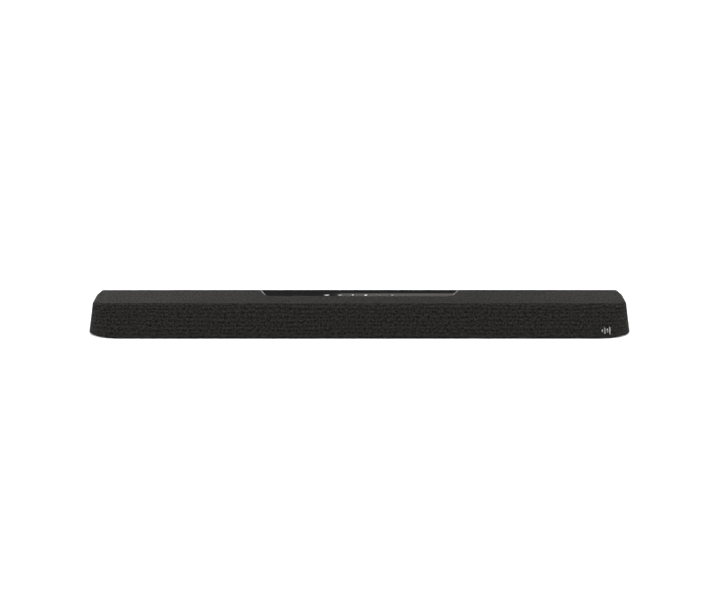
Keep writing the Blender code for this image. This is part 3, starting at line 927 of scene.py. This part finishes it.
def middle_of(node: str) -> tuple[Vector, Vector, Vector]:
    """Returns a CAD node's lowest corner, highest corner and middle."""
    low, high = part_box(node)
    return low, high, (low + high) / 2


def carved(
    mesh: bpy.types.Mesh, cutters: Sequence[bpy.types.Mesh], cloth: float = 0.0
) -> bpy.types.Mesh:
    """Cuts closed shapes out of a mesh.

    Args:
        mesh: The mesh.
        cutters: What is cut away.
        cloth: The wall that the mesh, if it is an open sheet, is given first, on its inner side.

    Returns:
        The cut mesh.
    """
    holder = bpy.data.objects.new("holder", mesh)
    bpy.context.scene.collection.objects.link(holder)
    if cloth > 0.0:
        wall = holder.modifiers.new("wall", "SOLIDIFY")
        wall.thickness = cloth
        wall.offset = -1.0
        wall.use_even_offset = True
    helpers = []
    for cutter in cutters:
        helper = bpy.data.objects.new("cutter", cutter)
        bpy.context.scene.collection.objects.link(helper)
        cut = holder.modifiers.new("cut", "BOOLEAN")
        cut.operation = "DIFFERENCE"
        cut.solver = "EXACT"
        cut.object = helper
        helpers.append(helper)
    graph = bpy.context.evaluated_depsgraph_get()
    made = bpy.data.meshes.new_from_object(holder.evaluated_get(graph))
    for item in (*helpers, holder):
        bpy.data.objects.remove(item, do_unlink=True)
    made.shade_smooth()
    made.set_sharp_from_angle(angle=SHARP)
    return made


# ---- The cloth over the front, ends and top ----


@dataclass(frozen=True)
class TrayPlan:
    """The outline of the control tray: wider behind, with two round corners in front."""

    half_front: float = 172.5 * MM
    half_back: float = 186.0 * MM
    corner: float = 12.0 * MM

    def prism(
        self, bm: bmesh.types.BMesh, margin: float, low: float, high: float, back: float
    ) -> bmesh.types.BMFace:
        """Adds a block of the tray's outline.

        Args:
            bm: The mesh.
            margin: How far outside the tray's own outline it lies.
            low: The height of its underside.
            high: The height of its top.
            back: How far back it reaches, along Y.

        Returns:
            Its top face.
        """
        lowest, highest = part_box("control_tray")
        slope = (self.half_back - self.half_front) / (highest.y - lowest.y)
        front = lowest.y - margin
        near = self.half_front + margin * (1.0 - slope)
        far = near + slope * (back - front)
        corners = ((-near, front), (near, front), (far, back), (-far, back))
        base = bm.faces.new([bm.verts.new((x, y, low)) for x, y in corners])
        top, _ = raised(bm, base, high - low)
        radius = self.corner + margin
        reach = radius * math.tan((math.pi / 2 - math.atan(slope)) / 2)
        upright = [
            edge
            for edge in bm.edges
            if all(abs(v.co.y - front) < NEAR for v in edge.verts)
            and abs(edge.verts[0].co.z - edge.verts[1].co.z) > NEAR
        ]
        soften(bm, upright, reach, 12)
        return max(bm.faces, key=lambda face: face.calc_center_median().z)


@dataclass
class ClothMap:
    """The UV map of the cloth, in metres along the bar's outline and up over its front."""

    NAME = "cloth"
    CHAMFER_SLOPE = 1.4

    corner_x: float
    corner_y: float
    radii: Pair
    low: float
    shoulder: float
    lean: float
    top: float
    top_front: float

    def across(self, x: float, y: float) -> float:
        """Returns how far round the outline a point is, from the middle of the front."""
        side, mean = abs(x), sum(self.radii) / 2
        if side <= self.corner_x:
            return x
        if y < self.corner_y:
            wide, deep = self.radii
            turn = math.atan2((side - self.corner_x) / wide, (self.corner_y - y) / deep)
            return math.copysign(self.corner_x + mean * turn, x)
        return math.copysign(self.corner_x + mean * math.pi / 2 + (y - self.corner_y), x)

    def lay(self, mesh: bpy.types.Mesh) -> None:
        """Writes the map.

        Args:
            mesh: The cloth's mesh, in its place.
        """
        while mesh.uv_layers:
            mesh.uv_layers.remove(mesh.uv_layers[0])
        layer = mesh.uv_layers.new(name=self.NAME)
        up_front = (self.shoulder - self.low) / math.cos(self.lean)
        chamfer = up_front + self.CHAMFER_SLOPE * (self.top - self.shoulder)
        for face in mesh.polygons:
            flat = abs(face.normal.z) > 0.85
            for loop in face.loop_indices:
                x, y, z = mesh.vertices[mesh.loops[loop].vertex_index].co
                if flat:
                    layer.data[loop].uv = (x, chamfer + y - self.top_front)
                else:
                    rise = (z - self.low) / math.cos(self.lean)
                    past = max(0.0, z - self.shoulder)
                    rise += (self.CHAMFER_SLOPE - 1.0) * past
                    layer.data[loop].uv = (self.across(x, y - self.lean_at(z)), rise)

    def lean_at(self, height: float) -> float:
        """Returns how far the front has leaned back at a height."""
        return (min(height, self.shoulder) - self.low) * math.tan(self.lean)


@dataclass(frozen=True)
class Corner:
    """One corner of the bar's outline at some height: a quarter of an ellipse."""

    side: int
    end: int
    middle: Vector
    radii: Pair

    @property
    def start(self) -> float:
        """The angle where the quarter starts, counter-clockwise from above."""
        starts = {(1, -1): -90.0, (1, 1): 0.0, (-1, 1): 90.0, (-1, -1): 180.0}
        return math.radians(starts[self.side, self.end])

    def holds(self, point: Vector) -> bool:
        """Returns whether a point of the outline belongs to this corner."""
        beside = (point.x - self.middle.x) * self.side >= -NEAR
        return beside and (point.y - self.middle.y) * self.end >= -NEAR

    def moved_to(
        self, bm: bmesh.types.BMesh, goal: Corner, verts: Sequence[bmesh.types.BMVert]
    ) -> None:
        """Turns this corner's vertices into another corner.

        Args:
            bm: The mesh.
            goal: The corner they should follow.
            verts: This corner's vertices.
        """
        factor = (goal.radii[0] / self.radii[0], goal.radii[1] / self.radii[1], 1.0)
        bmesh.ops.scale(bm, vec=factor, space=Matrix.Translation(-self.middle), verts=verts)
        step = goal.middle - self.middle
        bmesh.ops.translate(bm, vec=(step.x, step.y, 0.0), verts=verts)


@dataclass
class ClothWrap:
    """The acoustic cloth, stretched over the grille and cut out round the control tray."""

    low_corner: Pair = (60.0 * MM, 44.0 * MM)
    high_corner: Pair = (18.0 * MM, 29.0 * MM)
    back_corner: Pair = (12.0 * MM, 22.0 * MM)
    depth: float = 120.0 * MM
    front_lean: float = 24.3 * MM
    end_lean: float = 7.5 * MM
    edge_drop: float = 5.5 * MM
    edge_front: float = 5.5 * MM
    edge_ends: float = 7.0 * MM
    edge_back: float = 2.0 * MM
    crease: float = 1.3 * MM
    cloth: float = 0.9 * MM
    notch_gap: float = 0.3 * MM
    corner_steps: int = 28
    back_steps: int = 10
    flat: Pair = (1.14, 0.19)
    flat_area: float = 0.150
    plan: TrayPlan = TrayPlan()

    def corners(self, rise: float, edge: float) -> list[Corner]:
        """Returns the outline's corners, in order round the bar.

        Args:
            rise: The height, from 0 at the skirt to 1 at the top.
            edge: How much of the top edge's chamfer has been drawn in.
        """
        lowest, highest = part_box("fabric_wrap")
        half = highest.x - self.end_lean * rise - self.edge_ends * edge
        front = lowest.y + self.front_lean * rise + self.edge_front * edge
        back = lowest.y + self.depth - self.edge_back * edge
        found = []
        for side, end in ((1, -1), (1, 1), (-1, 1), (-1, -1)):
            radii, drawn = self.back_corner, self.edge_back
            if end < 0:
                low, high = self.low_corner, self.high_corner
                radii = tuple(a + (b - a) * rise for a, b in zip(low, high))
                drawn = self.edge_front
            across = radii[0] - self.edge_ends * edge
            deep = radii[1] - drawn * edge
            line = front + deep if end < 0 else back - deep
            middle = Vector((side * (half - across), line, lowest.z))
            found.append(Corner(side, end, middle, (across, deep)))
        return found

    def skin(self) -> bmesh.types.BMesh:
        """Returns the cloth's outer surface, open below and behind."""
        lowest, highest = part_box("fabric_wrap")
        tall = highest.z - lowest.z
        shoulder = 1.0 - self.edge_drop / tall
        bm = bmesh.new()
        outline: list[bmesh.types.BMVert] = []
        rings = [self.corners(0.0, 0.0), self.corners(shoulder, 0.0), self.corners(shoulder, 1.0)]
        for corner in rings[0]:
            steps = self.corner_steps if corner.end < 0 else self.back_steps
            outline += arc(bm, corner.middle, corner.radii, corner.start, steps)
        face = bm.faces.new(outline)
        for before, after, rise in zip(rings, rings[1:], (tall - self.edge_drop, self.edge_drop)):
            face, ring = raised(bm, face, rise)
            parts = [[vert for vert in ring if corner.holds(vert.co)] for corner in before]
            for corner, goal, part in zip(before, after, parts):
                corner.moved_to(bm, goal, part)
        for height in (highest.z, highest.z - self.edge_drop):
            soften(bm, level_edges(bm, height), self.crease, 3)
        floor = [f for f in bm.faces if all(abs(v.co.z - lowest.z) < NEAR for v in f.verts)]
        bmesh.ops.delete(bm, geom=floor, context="FACES_ONLY")
        everything = [*bm.verts, *bm.edges, *bm.faces]
        bmesh.ops.bisect_plane(
            bm,
            geom=everything,
            dist=NEAR,
            plane_co=(0.0, highest.y, 0.0),
            plane_no=Axis.BACK.value,
            clear_outer=True,
        )
        bmesh.ops.recalc_face_normals(bm, faces=bm.faces)
        top = max(bm.faces, key=lambda f: f.calc_area() * max(0.0, abs(f.normal.z)))
        if top.normal.z < 0.0:
            bmesh.ops.reverse_faces(bm, faces=bm.faces)
        return bm

    def build(self) -> bpy.types.Object:
        """Builds the cloth and returns it."""
        lowest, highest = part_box("fabric_wrap")
        shoulder = highest.z - self.edge_drop
        sheet = as_mesh(self.skin(), "cloth", outward=False)
        cutter = bmesh.new()
        low, high, back = highest.z - 8 * MM, highest.z + 5 * MM, highest.y + 10 * MM
        self.plan.prism(cutter, self.notch_gap, low, high, back)
        mesh = carved(sheet, [as_mesh(cutter, "notch")], self.cloth)
        lean = math.atan2(self.front_lean, highest.z - lowest.z)
        lay = ClothMap(
            corner_x=highest.x - self.low_corner[0],
            corner_y=lowest.y + self.low_corner[1],
            radii=self.low_corner,
            low=lowest.z,
            shoulder=shoulder,
            lean=lean,
            top=highest.z,
            top_front=lowest.y + math.tan(lean) * (shoulder - lowest.z) + self.edge_front,
        )
        lay.lay(mesh)
        piece = show("cloth_wrap", mesh, CLOTH, stands_for=["fabric_wrap"])
        return piece


# ---- The control tray and its buttons ----


@dataclass
class ControlTray:
    """The glossy tray in the top, with a countersunk hole for each button."""

    wall: float = 1.5 * MM
    recess: float = 3.0 * MM
    rim_round: float = 0.35 * MM
    floor_round: float = 0.7 * MM
    hole: float = 5.3 * MM
    sink: float = 0.3 * MM
    past: float = 2.0 * MM
    steps: int = 48
    plan: TrayPlan = TrayPlan()

    def build(self) -> bpy.types.Object:
        """Builds the tray and returns it."""
        lowest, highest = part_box("control_tray")
        bm = bmesh.new()
        top = self.plan.prism(bm, 0.0, lowest.z, highest.z, highest.y)
        bmesh.ops.inset_region(bm, faces=[top], thickness=self.wall, use_even_offset=True)
        raised(bm, top, -self.recess)
        floor = highest.z - self.recess
        rims = level_edges(bm, highest.z)
        joins = level_edges(bm, floor)
        soften(bm, rims, self.rim_round, 3)
        soften(bm, [edge for edge in joins if edge.is_valid], self.floor_round, 3)
        tray = as_mesh(bm, "tray")
        holes = bmesh.new()
        for symbol in Symbol:
            _, _, middle = middle_of(f"button_{symbol.value}")
            place = Matrix.Translation((middle.x, middle.y, 0.0))
            under, over, wide = lowest.z - self.past, floor + self.past, self.hole + self.sink
            profile = [(0.0, under), (self.hole, under), (self.hole, floor - self.sink)]
            profile += [(wide, floor), (wide, over), (0.0, over)]
            turned(holes, profile, place, self.steps)
        mesh = carved(tray, [as_mesh(holes, "holes")])
        return show("tray_panel", mesh, GLOSS_PLASTIC, stands_for=["control_tray"])


MARK_EDGE = 0.22 * MM


@dataclass(frozen=True)
class Bar:
    """A straight stroke of a mark: its length and its middle in mm, and its angle in degrees."""

    length: float
    x: float = 0.0
    y: float = 0.0
    turn: float = 0.0

    def draw(self, bm: bmesh.types.BMesh, line: float, depth: float) -> None:
        """Adds the stroke, its top at height 0.

        Args:
            bm: The mark's mesh.
            line: The stroke's width.
            depth: How far down it goes.
        """
        spun = Matrix.Rotation(math.radians(self.turn), 4, "Z")
        middle = (self.x * MM, self.y * MM, -depth / 2)
        block(bm, (self.length * MM, line, depth), middle, MARK_EDGE, spun)


@dataclass(frozen=True)
class Bow:
    """A round stroke of a mark: its radius in mm, its start and sweep in degrees, its centre."""

    radius: float
    start: float
    sweep: float
    x: float = 0.0
    y: float = 0.0

    def draw(self, bm: bmesh.types.BMesh, line: float, depth: float) -> None:
        """Adds the stroke, its top at height 0.

        Args:
            bm: The mark's mesh.
            line: The stroke's width.
            depth: How far down it goes.
        """
        inner, outer, edge = self.radius * MM - line / 2, self.radius * MM + line / 2, MARK_EDGE
        profile = [(inner, -depth), (outer, -depth), (outer, -edge), (outer - edge, 0.0)]
        profile += [(inner + edge, 0.0), (inner, -edge)]
        spun = Matrix.Rotation(math.radians(self.start), 4, "Z")
        place = Matrix.Translation((self.x * MM, self.y * MM, 0.0)) @ spun
        steps = max(8, int(self.sweep / 10))
        turned(bm, profile, place, steps, math.radians(self.sweep), closed=True)


MARKS: dict[Symbol, tuple[Bar | Bow, ...]] = {
    Symbol.POWER: (Bow(2.5, 125.0, 290.0), Bar(2.6, 0.0, 2.0, 90.0)),
    Symbol.INPUT: (
        Bar(3.8, -1.4),
        Bar(1.9, -0.1, -0.65, 45.0),
        Bar(2.4, 2.3, -2.2),
        Bar(1.9, -0.1, 0.65, -45.0),
        Bar(2.4, 2.3, 2.2),
        Bar(5.4, 3.0, 0.0, 90.0),
    ),
    Symbol.LINK: (
        Bow(1.5, 52.0, 76.0, 0.0, -1.5),
        Bow(3.1, 52.0, 76.0, 0.0, -1.5),
        Bar(1.2, 0.0, -1.7),
    ),
    Symbol.MODE: (
        Bar(3.6, 1.15, 1.15, -45.0),
        Bar(3.6, -1.15, 1.15, 45.0),
        Bar(3.6, -1.15, -1.15, -45.0),
        Bar(3.6, 1.15, -1.15, 45.0),
    ),
    Symbol.MINUS: (Bar(5.6),),
    Symbol.PLUS: (Bar(5.6), Bar(2.2, 0.0, -1.7, 90.0), Bar(2.2, 0.0, 1.7, 90.0)),
}


@dataclass
class PushButton:
    """A button: a softly dished cap on its flange and plunger, with a raised mark on it."""

    symbol: Symbol
    plunger: Pair = (1.5 * MM, 0.4 * MM)
    flange: float = 5.9 * MM
    cap: float = 5.0 * MM
    cap_tall: float = 2.0 * MM
    dish: float = 0.18 * MM
    edge: float = 0.45 * MM
    mark_rise: float = 0.45 * MM
    line: float = 1.15 * MM

    def profile(self, low: float, high: float) -> list[Pair]:
        """Returns the (radius, height) points of the button, from its foot to its cap's middle.

        Args:
            low: The height of the plunger's foot.
            high: The height of the cap's rim.
        """
        radius, tall = self.plunger
        under, seat = high - self.cap_tall, low + tall
        points = [(0.0, low), (radius, low), (radius, seat), (self.flange, seat)]
        points += [(self.flange, under), (self.cap, under), (self.cap, high - self.edge)]
        for step in range(1, 5):
            turn = math.pi / 2 * step / 4
            inward = self.edge * (1 - math.cos(turn))
            points.append((self.cap - inward, high - self.edge * (1 - math.sin(turn))))
        points += [(self.cap * 0.6, high - self.dish * 0.7), (self.cap * 0.3, high - self.dish)]
        return [*points, (0.0, high - self.dish)]

    def build(self) -> None:
        """Builds the button and its mark."""
        name = self.symbol.value
        node = f"button_{name}"
        low, high, middle = middle_of(node)
        place = Matrix.Translation((middle.x, middle.y, 0.0))
        bm = bmesh.new()
        turned(bm, self.profile(low.z, high.z), place, 48)
        show(f"key_{name}", as_mesh(bm, node), GLOSS_PLASTIC, node, [node])
        mark = bmesh.new()
        for stroke in MARKS[self.symbol]:
            stroke.draw(mark, self.line, self.mark_rise + self.dish)
        top = high.z - self.dish + self.mark_rise
        bmesh.ops.translate(mark, vec=(middle.x, middle.y, top), verts=mark.verts)
        show(f"mark_{name}", as_mesh(mark, name), SATIN_SILVER, node)


# ---- The badge, the covers and the fittings ----


@dataclass
class Badge:
    """The badge low on the right of the front: four bars of different heights on a dark plate."""

    right: float = 451.0 * MM
    up: float = 14.0 * MM
    setback: float = 0.1 * MM
    swing: float = math.radians(3.6)
    lean: float = math.atan2(24.3, 57.5)
    plate: Pair = (7.75 * MM, 3.0 * MM)
    bar: float = 1.1 * MM
    pitch: float = 4.6 * MM
    heights: tuple[float, ...] = (4.4 * MM, 11.0 * MM, 7.4 * MM, 13.2 * MM)

    def build(self) -> None:
        """Builds the plate and its bars."""
        lowest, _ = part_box("fabric_wrap")
        back = (self.up - lowest.z) * math.tan(self.lean) + self.setback
        place = (
            Matrix.Translation((self.right, lowest.y + back, self.up))
            @ Matrix.Rotation(self.swing, 4, "Z")
            @ Matrix.Rotation(math.pi / 2 - self.lean, 4, "X")
        )
        bm = bmesh.new()
        pad(bm, self.plate, (0.1 * MM, 0.9 * MM), 0.3 * MM, place)
        show("badge_plate", as_mesh(bm, "badge_plate"), GLOSS_PLASTIC, stands_for=["front_badge"])
        bars = bmesh.new()
        for count, height in enumerate(self.heights):
            beside = Matrix.Translation(((count - 1.5) * self.pitch, 0.0, 0.0))
            upright = place @ beside @ Matrix.Rotation(math.pi / 2, 4, "Z")
            pad(bars, (height / 2 - self.bar, self.bar), (0.5 * MM, 1.5 * MM), 0.3 * MM, upright)
        show("badge_bars", as_mesh(bars, "badge_bars"), SATIN_SILVER)


@dataclass
class Foot:
    """A long rubber foot with two grooves round its underside."""

    node: str
    rim: float = 0.5 * MM
    rib: float = 1.7 * MM
    groove: float = 1.0 * MM
    depth: float = 0.6 * MM

    def build(self) -> None:
        """Builds the foot."""
        low, high, middle = middle_of(self.node)
        half = (high - low) / 2
        bm = bmesh.new()
        face, _ = raised(bm, stadium(bm, half.x - half.y, half.y, high.z), low.z - high.z)
        soften(bm, level_edges(bm, low.z), self.rim, 3)
        for _ in range(2):
            lowest = [f for f in bm.faces if f.calc_center_median().z < low.z + NEAR]
            face = max(lowest, key=lambda f: f.calc_area())
            for width, rise in ((self.rib, self.depth), (self.groove, -self.depth)):
                bmesh.ops.inset_region(bm, faces=[face], thickness=width, use_even_offset=True)
                face, _ = raised(bm, face, rise)
        bmesh.ops.translate(bm, vec=(middle.x, middle.y, 0.0), verts=bm.verts)
        show(f"{self.node}_pad", as_mesh(bm, self.node), FOOT_RUBBER, stands_for=[self.node])


@dataclass
class CaseScrew:
    """A plated screw with a pan head and a cross recess, driven in from below."""

    node: str
    shank: float = 1.4 * MM
    tall: float = 1.9 * MM
    edge: float = 0.5 * MM
    slot: tuple[float, float, float] = (3.4 * MM, 0.75 * MM, 1.6 * MM)

    def build(self) -> None:
        """Builds the screw."""
        low, high, middle = middle_of(self.node)
        radius = (high.x - low.x) / 2
        place = Matrix.Translation((middle.x, middle.y, 0.0))
        seat = low.z + self.tall
        tip, rim = high.z - 0.4 * MM, seat - self.edge
        profile = [(0.0, high.z), (self.shank, tip), (self.shank, seat), (radius, seat)]
        for step in range(6):
            turn = math.pi / 2 * step / 6
            drop = (self.tall - self.edge) * math.sin(turn)
            profile.append((radius * math.cos(turn) ** 0.6, rim - drop))
        bm = bmesh.new()
        turned(bm, [*profile, (0.0, low.z)], place, 32)
        cuts = []
        for angle in (45.0, 135.0):
            cross = bmesh.new()
            spun = Matrix.Rotation(math.radians(angle), 4, "Z")
            block(cross, self.slot, (middle.x, middle.y, low.z + 0.2 * MM), 0.0, spun)
            cuts.append(as_mesh(cross, "cross"))
        mesh = carved(as_mesh(bm, self.node), cuts)
        show(f"{self.node}_driven", mesh, PLATED_STEEL, stands_for=[self.node])


@dataclass
class SoftenedPart:
    """A moulded or stamped part: the CAD's own shape with every hard edge rounded over."""

    node: str
    finish: Finish
    radius: float
    shortest: float = 0.0
    hard_angle: float = math.radians(40.0)
    flat_angle: float = math.radians(0.5)

    def build(self, nodes: dict[str, bpy.types.Object]) -> None:
        """Builds the part.

        Args:
            nodes: The CAD nodes by name.
        """
        bm = bmesh.new()
        bm.from_mesh(nodes[self.node].data)
        bmesh.ops.transform(bm, matrix=nodes[self.node].matrix_world, verts=bm.verts)
        bmesh.ops.remove_doubles(bm, verts=bm.verts, dist=NEAR)
        bmesh.ops.dissolve_limit(
            bm, angle_limit=self.flat_angle, verts=bm.verts, edges=bm.edges
        )
        hard = [
            edge
            for edge in bm.edges
            if len(edge.link_faces) == 2
            and edge.calc_face_angle(0.0) > self.hard_angle
            and edge.calc_length() > self.shortest
        ]
        soften(bm, hard, self.radius, 2)
        show(f"{self.node}_finished", as_mesh(bm, self.node), self.finish, stands_for=[self.node])


@dataclass
class SocketTongue:
    """The tongue inside a signal socket, with a row of gilt contacts on each side."""

    node: str
    inset: float = 1.7 * MM
    thick: float = 1.1 * MM
    floor: float = 3.7 * MM
    setback: float = 1.6 * MM
    edge: float = 0.15 * MM
    contacts: int = 9
    margin: float = 1.2 * MM
    short: float = 1.0 * MM
    gilt: float = 0.12 * MM

    def build(self) -> None:
        """Builds the tongue and its contacts."""
        low, high, middle = middle_of(self.node)
        start, end = low.y + self.floor, high.y - self.setback
        width, long, along = high.x - low.x - 2 * self.inset, end - start, (start + end) / 2
        bm = bmesh.new()
        block(bm, (width, long, self.thick), (middle.x, along, middle.z), self.edge)
        show(f"{self.node}_tongue", as_mesh(bm, self.node), BLACK_PLASTIC)
        gilt = bmesh.new()
        pitch = (width - self.margin) / (self.contacts - 1)
        size = (pitch * 0.45, long - self.short, self.gilt)
        for count in range(self.contacts):
            x = middle.x + (count - (self.contacts - 1) / 2) * pitch
            for side in (-1.0, 1.0):
                z = middle.z + side * self.thick / 2
                block(gilt, size, (x, along, z))
        show(f"{self.node}_contacts", as_mesh(gilt, self.node), GILT)


@dataclass
class JackCollar:
    """The plated collar round the mouth of the audio jack."""

    inner: float = 1.8 * MM
    outer: float = 2.9 * MM
    deep: float = 1.2 * MM
    edge: float = 0.2 * MM
    proud: float = 0.35 * MM

    def build(self) -> None:
        """Builds the collar."""
        _, high, middle = middle_of("aux_jack")
        bm = bmesh.new()
        edge, brim = self.edge, self.proud / 2
        profile = [(self.inner, -self.deep), (self.outer, -self.deep), (self.outer, brim)]
        profile += [(self.outer - edge, self.proud), (self.inner + edge, self.proud)]
        profile.append((self.inner, brim))
        mouth = Matrix.Translation((middle.x, high.y, middle.z))
        place = mouth @ Matrix.Rotation(-math.pi / 2, 4, "X")
        turned(bm, profile, place, 40, closed=True)
        show("aux_collar", as_mesh(bm, "collar"), PLATED_STEEL)


# ---- The studio ----


WHITE = (1.0, 1.0, 1.0)
WARM = (1.0, 0.97, 0.93)


@dataclass(frozen=True)
class Lamp:
    """A soft rectangular lamp: where it is, what it points at, its size and its power in watts."""

    name: str
    place: tuple[float, float, float]
    aim: tuple[float, float, float]
    size: Pair
    watts: float
    tint: Colour = WHITE
    spread: float = 180.0

    def hang(self) -> None:
        """Adds the lamp."""
        data = bpy.data.lights.new(self.name, "AREA")
        data.spread = math.radians(self.spread)
        data.shape = "RECTANGLE"
        data.size, data.size_y = self.size
        data.energy = self.watts
        data.color = self.tint
        lamp = aimed(self.name, data, Vector(self.place), Vector(self.aim))
        lamp.visible_camera = False


LAMPS = (
    Lamp("overhead", (0.0, 0.5, 5.0), (0.0, 0.5, 0.0), (24.0, 8.5), 1380.0),
    *(
        Lamp("floor_wash", (0.0, y, 5.0), (0.0, y, 0.0), (26.0, 11.0), 2800.0, spread=75.0)
        for y in (-10.0, 10.0)
    ),
    Lamp("right_card", (1.55, 5.0, 1.5), (1.35, 0.0, 0.5), (3.3, 1.6), 6.5, WARM),
    Lamp("far_right_card", (2.2, 4.9, 1.7), (1.35, 0.0, 0.5), (1.9, 1.4), 75.0, WARM),
    Lamp("left_card", (-2.1, 5.0, 1.7), (-1.35, 0.0, 0.5), (2.2, 1.4), 110.0, WARM),
    *(
        Lamp("side_card", (side * 4.0, -0.6, 1.2), (side * 0.5, 0.0, 0.03), (2.0, 2.0), 78.0)
        for side in (-1.0, 1.0)
    ),
)


def aimed(name: str, data: bpy.types.ID, place: Vector, aim: Vector) -> bpy.types.Object:
    """Adds a lamp or a camera that points at a place.

    Args:
        name: Its name.
        data: Its light or its camera.
        place: Where it is.
        aim: What it points at.

    Returns:
        The new object.
    """
    made = bpy.data.objects.new(name, data)
    made.location = place
    made.rotation_mode = "QUATERNION"
    made.rotation_quaternion = (aim - place).to_track_quat("-Z", "Y")
    bpy.context.scene.collection.objects.link(made)
    return made


@dataclass
class Studio:
    """The floor, the world, the lamps and the camera."""

    distance: float = 3.2
    elevation: float = math.radians(16.7)
    lens: float = 86.15
    sensor: float = 36.0
    eye_over: float = 32.5 * MM
    aim_over: float = 43.1 * MM
    aim_right: float = 1.0 * MM
    floor_half: float = 12.0
    floor_colour: float = 0.95
    backdrop: float = 1.0
    fill: float = 0.04

    def floor(self) -> None:
        """Lays the pale floor."""
        bm = bmesh.new()
        bmesh.ops.create_grid(bm, x_segments=4, y_segments=4, size=self.floor_half)
        mesh = as_mesh(bm, "floor", outward=False)
        made = bpy.data.materials.new("pale_floor")
        made.use_nodes = True
        shader = made.node_tree.nodes["Principled BSDF"]
        colour = (*[self.floor_colour] * 3, 1.0)
        Wiring(made.node_tree).fill(
            shader, Base_Color=colour, Roughness=0.9, Specular_IOR_Level=0.045
        )
        mesh.materials.append(made)
        ground = bpy.data.objects.new("floor", mesh)
        bpy.context.scene.collection.objects.link(ground)
        ground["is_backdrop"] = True

    def world(self) -> None:
        """Sets a white world that the camera sees in full and the pieces only faintly."""
        world = bpy.data.worlds.new("studio")
        world.use_nodes = True
        wiring = Wiring(world.node_tree)
        dim, seen = world.node_tree.nodes["Background"], wiring.node("Background")
        mixed = wiring.node("MixShader")
        wiring.feed(mixed.inputs[0], wiring.node("LightPath").outputs["Is Camera Ray"])
        for count, (light, strength) in enumerate(((dim, self.fill), (seen, self.backdrop)), 1):
            wiring.fill(light, Color=(*WHITE, 1.0), Strength=strength)
            wiring.feed(mixed.inputs[count], light.outputs[0])
        wiring.feed(world.node_tree.nodes["World Output"].inputs["Surface"], mixed.outputs[0])
        bpy.context.scene.world = world
        bpy.context.scene.view_settings.view_transform = "Standard"

    def camera(self) -> None:
        """Sets up the camera in front of the bar, a little above it."""
        data = bpy.data.cameras.new("camera")
        data.lens = self.lens
        data.sensor_width = self.sensor
        data.clip_end = 100.0
        back = Vector((0.0, -math.cos(self.elevation), math.sin(self.elevation)))
        place = Vector((0.0, 0.0, self.eye_over)) + back * self.distance
        aim = Vector((self.aim_right, 0.0, self.aim_over))
        bpy.context.scene.camera = aimed("camera", data, place, aim)

    def build(self) -> None:
        """Builds the floor, the lamps, the world and the camera."""
        self.floor()
        for lamp in LAMPS:
            lamp.hang()
        self.world()
        self.camera()


# ---- The carried-over nodes ----

NODE_FINISHES: dict[str, Finish] = {
    "acoustic_fabric": CLOTH,
    "matte_black": BLACK_PLASTIC,
    "gloss_black": GLOSS_PLASTIC,
    "rubber": FOOT_RUBBER,
    "zinc_steel": PLATED_STEEL,
    "aluminium": BARE_ALUMINIUM,
    "circuit_board": GREEN_BOARD,
    "cone_paper": CONE_PULP,
    "dome_silk": DOME_CLOTH,
    "driver_frame": FRAME_PLASTIC,
    "badge_metal": SATIN_SILVER,
}


def dress_nodes(frame: dict) -> None:
    """Gives each CAD node the finish of its slot.
    """
    slots = {part["node"]: part["material_slot"] for part in frame["record"]["subparts"]}
    for name, node in frame["nodes"].items():
        finish = NODE_FINISHES[slots[name]]
        node.data.materials.clear()
        node.data.materials.append(finish.material())
        LOG.info("%s in %s", name, finish.name)


def corners_of(box: tuple[Vector, Vector]) -> list[list[float]]:
    """Returns a box's two corners as plain lists."""
    return [list(corner) for corner in box]


def main() -> dict[str, list[list[float]]]:
    """Builds everything round the frame.

    Returns:
        The CAD model's box.
    """
    logging.basicConfig(level=logging.INFO, format="%(name)s: %(message)s")
    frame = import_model()
    cad_box = corners_of(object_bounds())
    dress_nodes(frame)
    ClothWrap().build()
    ControlTray().build()
    for symbol in Symbol:
        PushButton(symbol).build()
    Badge().build()
    for side in ("left", "right"):
        Foot(f"foot_{side}").build()
        SoftenedPart(f"keyhole_plate_{side}", PLATED_STEEL, 0.2 * MM).build(frame["nodes"])
    for count in range(1, 5):
        CaseScrew(f"case_screw_{count}").build()
    SoftenedPart("rear_cover", BLACK_PLASTIC, 0.4 * MM).build(frame["nodes"])
    SoftenedPart("bottom_cover", BLACK_PLASTIC, 0.3 * MM, 3.0 * MM).build(frame["nodes"])
    for node in ("hdmi_socket_1", "hdmi_socket_2", "usb_socket"):
        SocketTongue(node).build()
    JackCollar().build()
    Studio().build()
    return {"cad": cad_box}


if __name__ == "__main__":
    sizes = main()
    sizes["visual"] = corners_of(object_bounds())
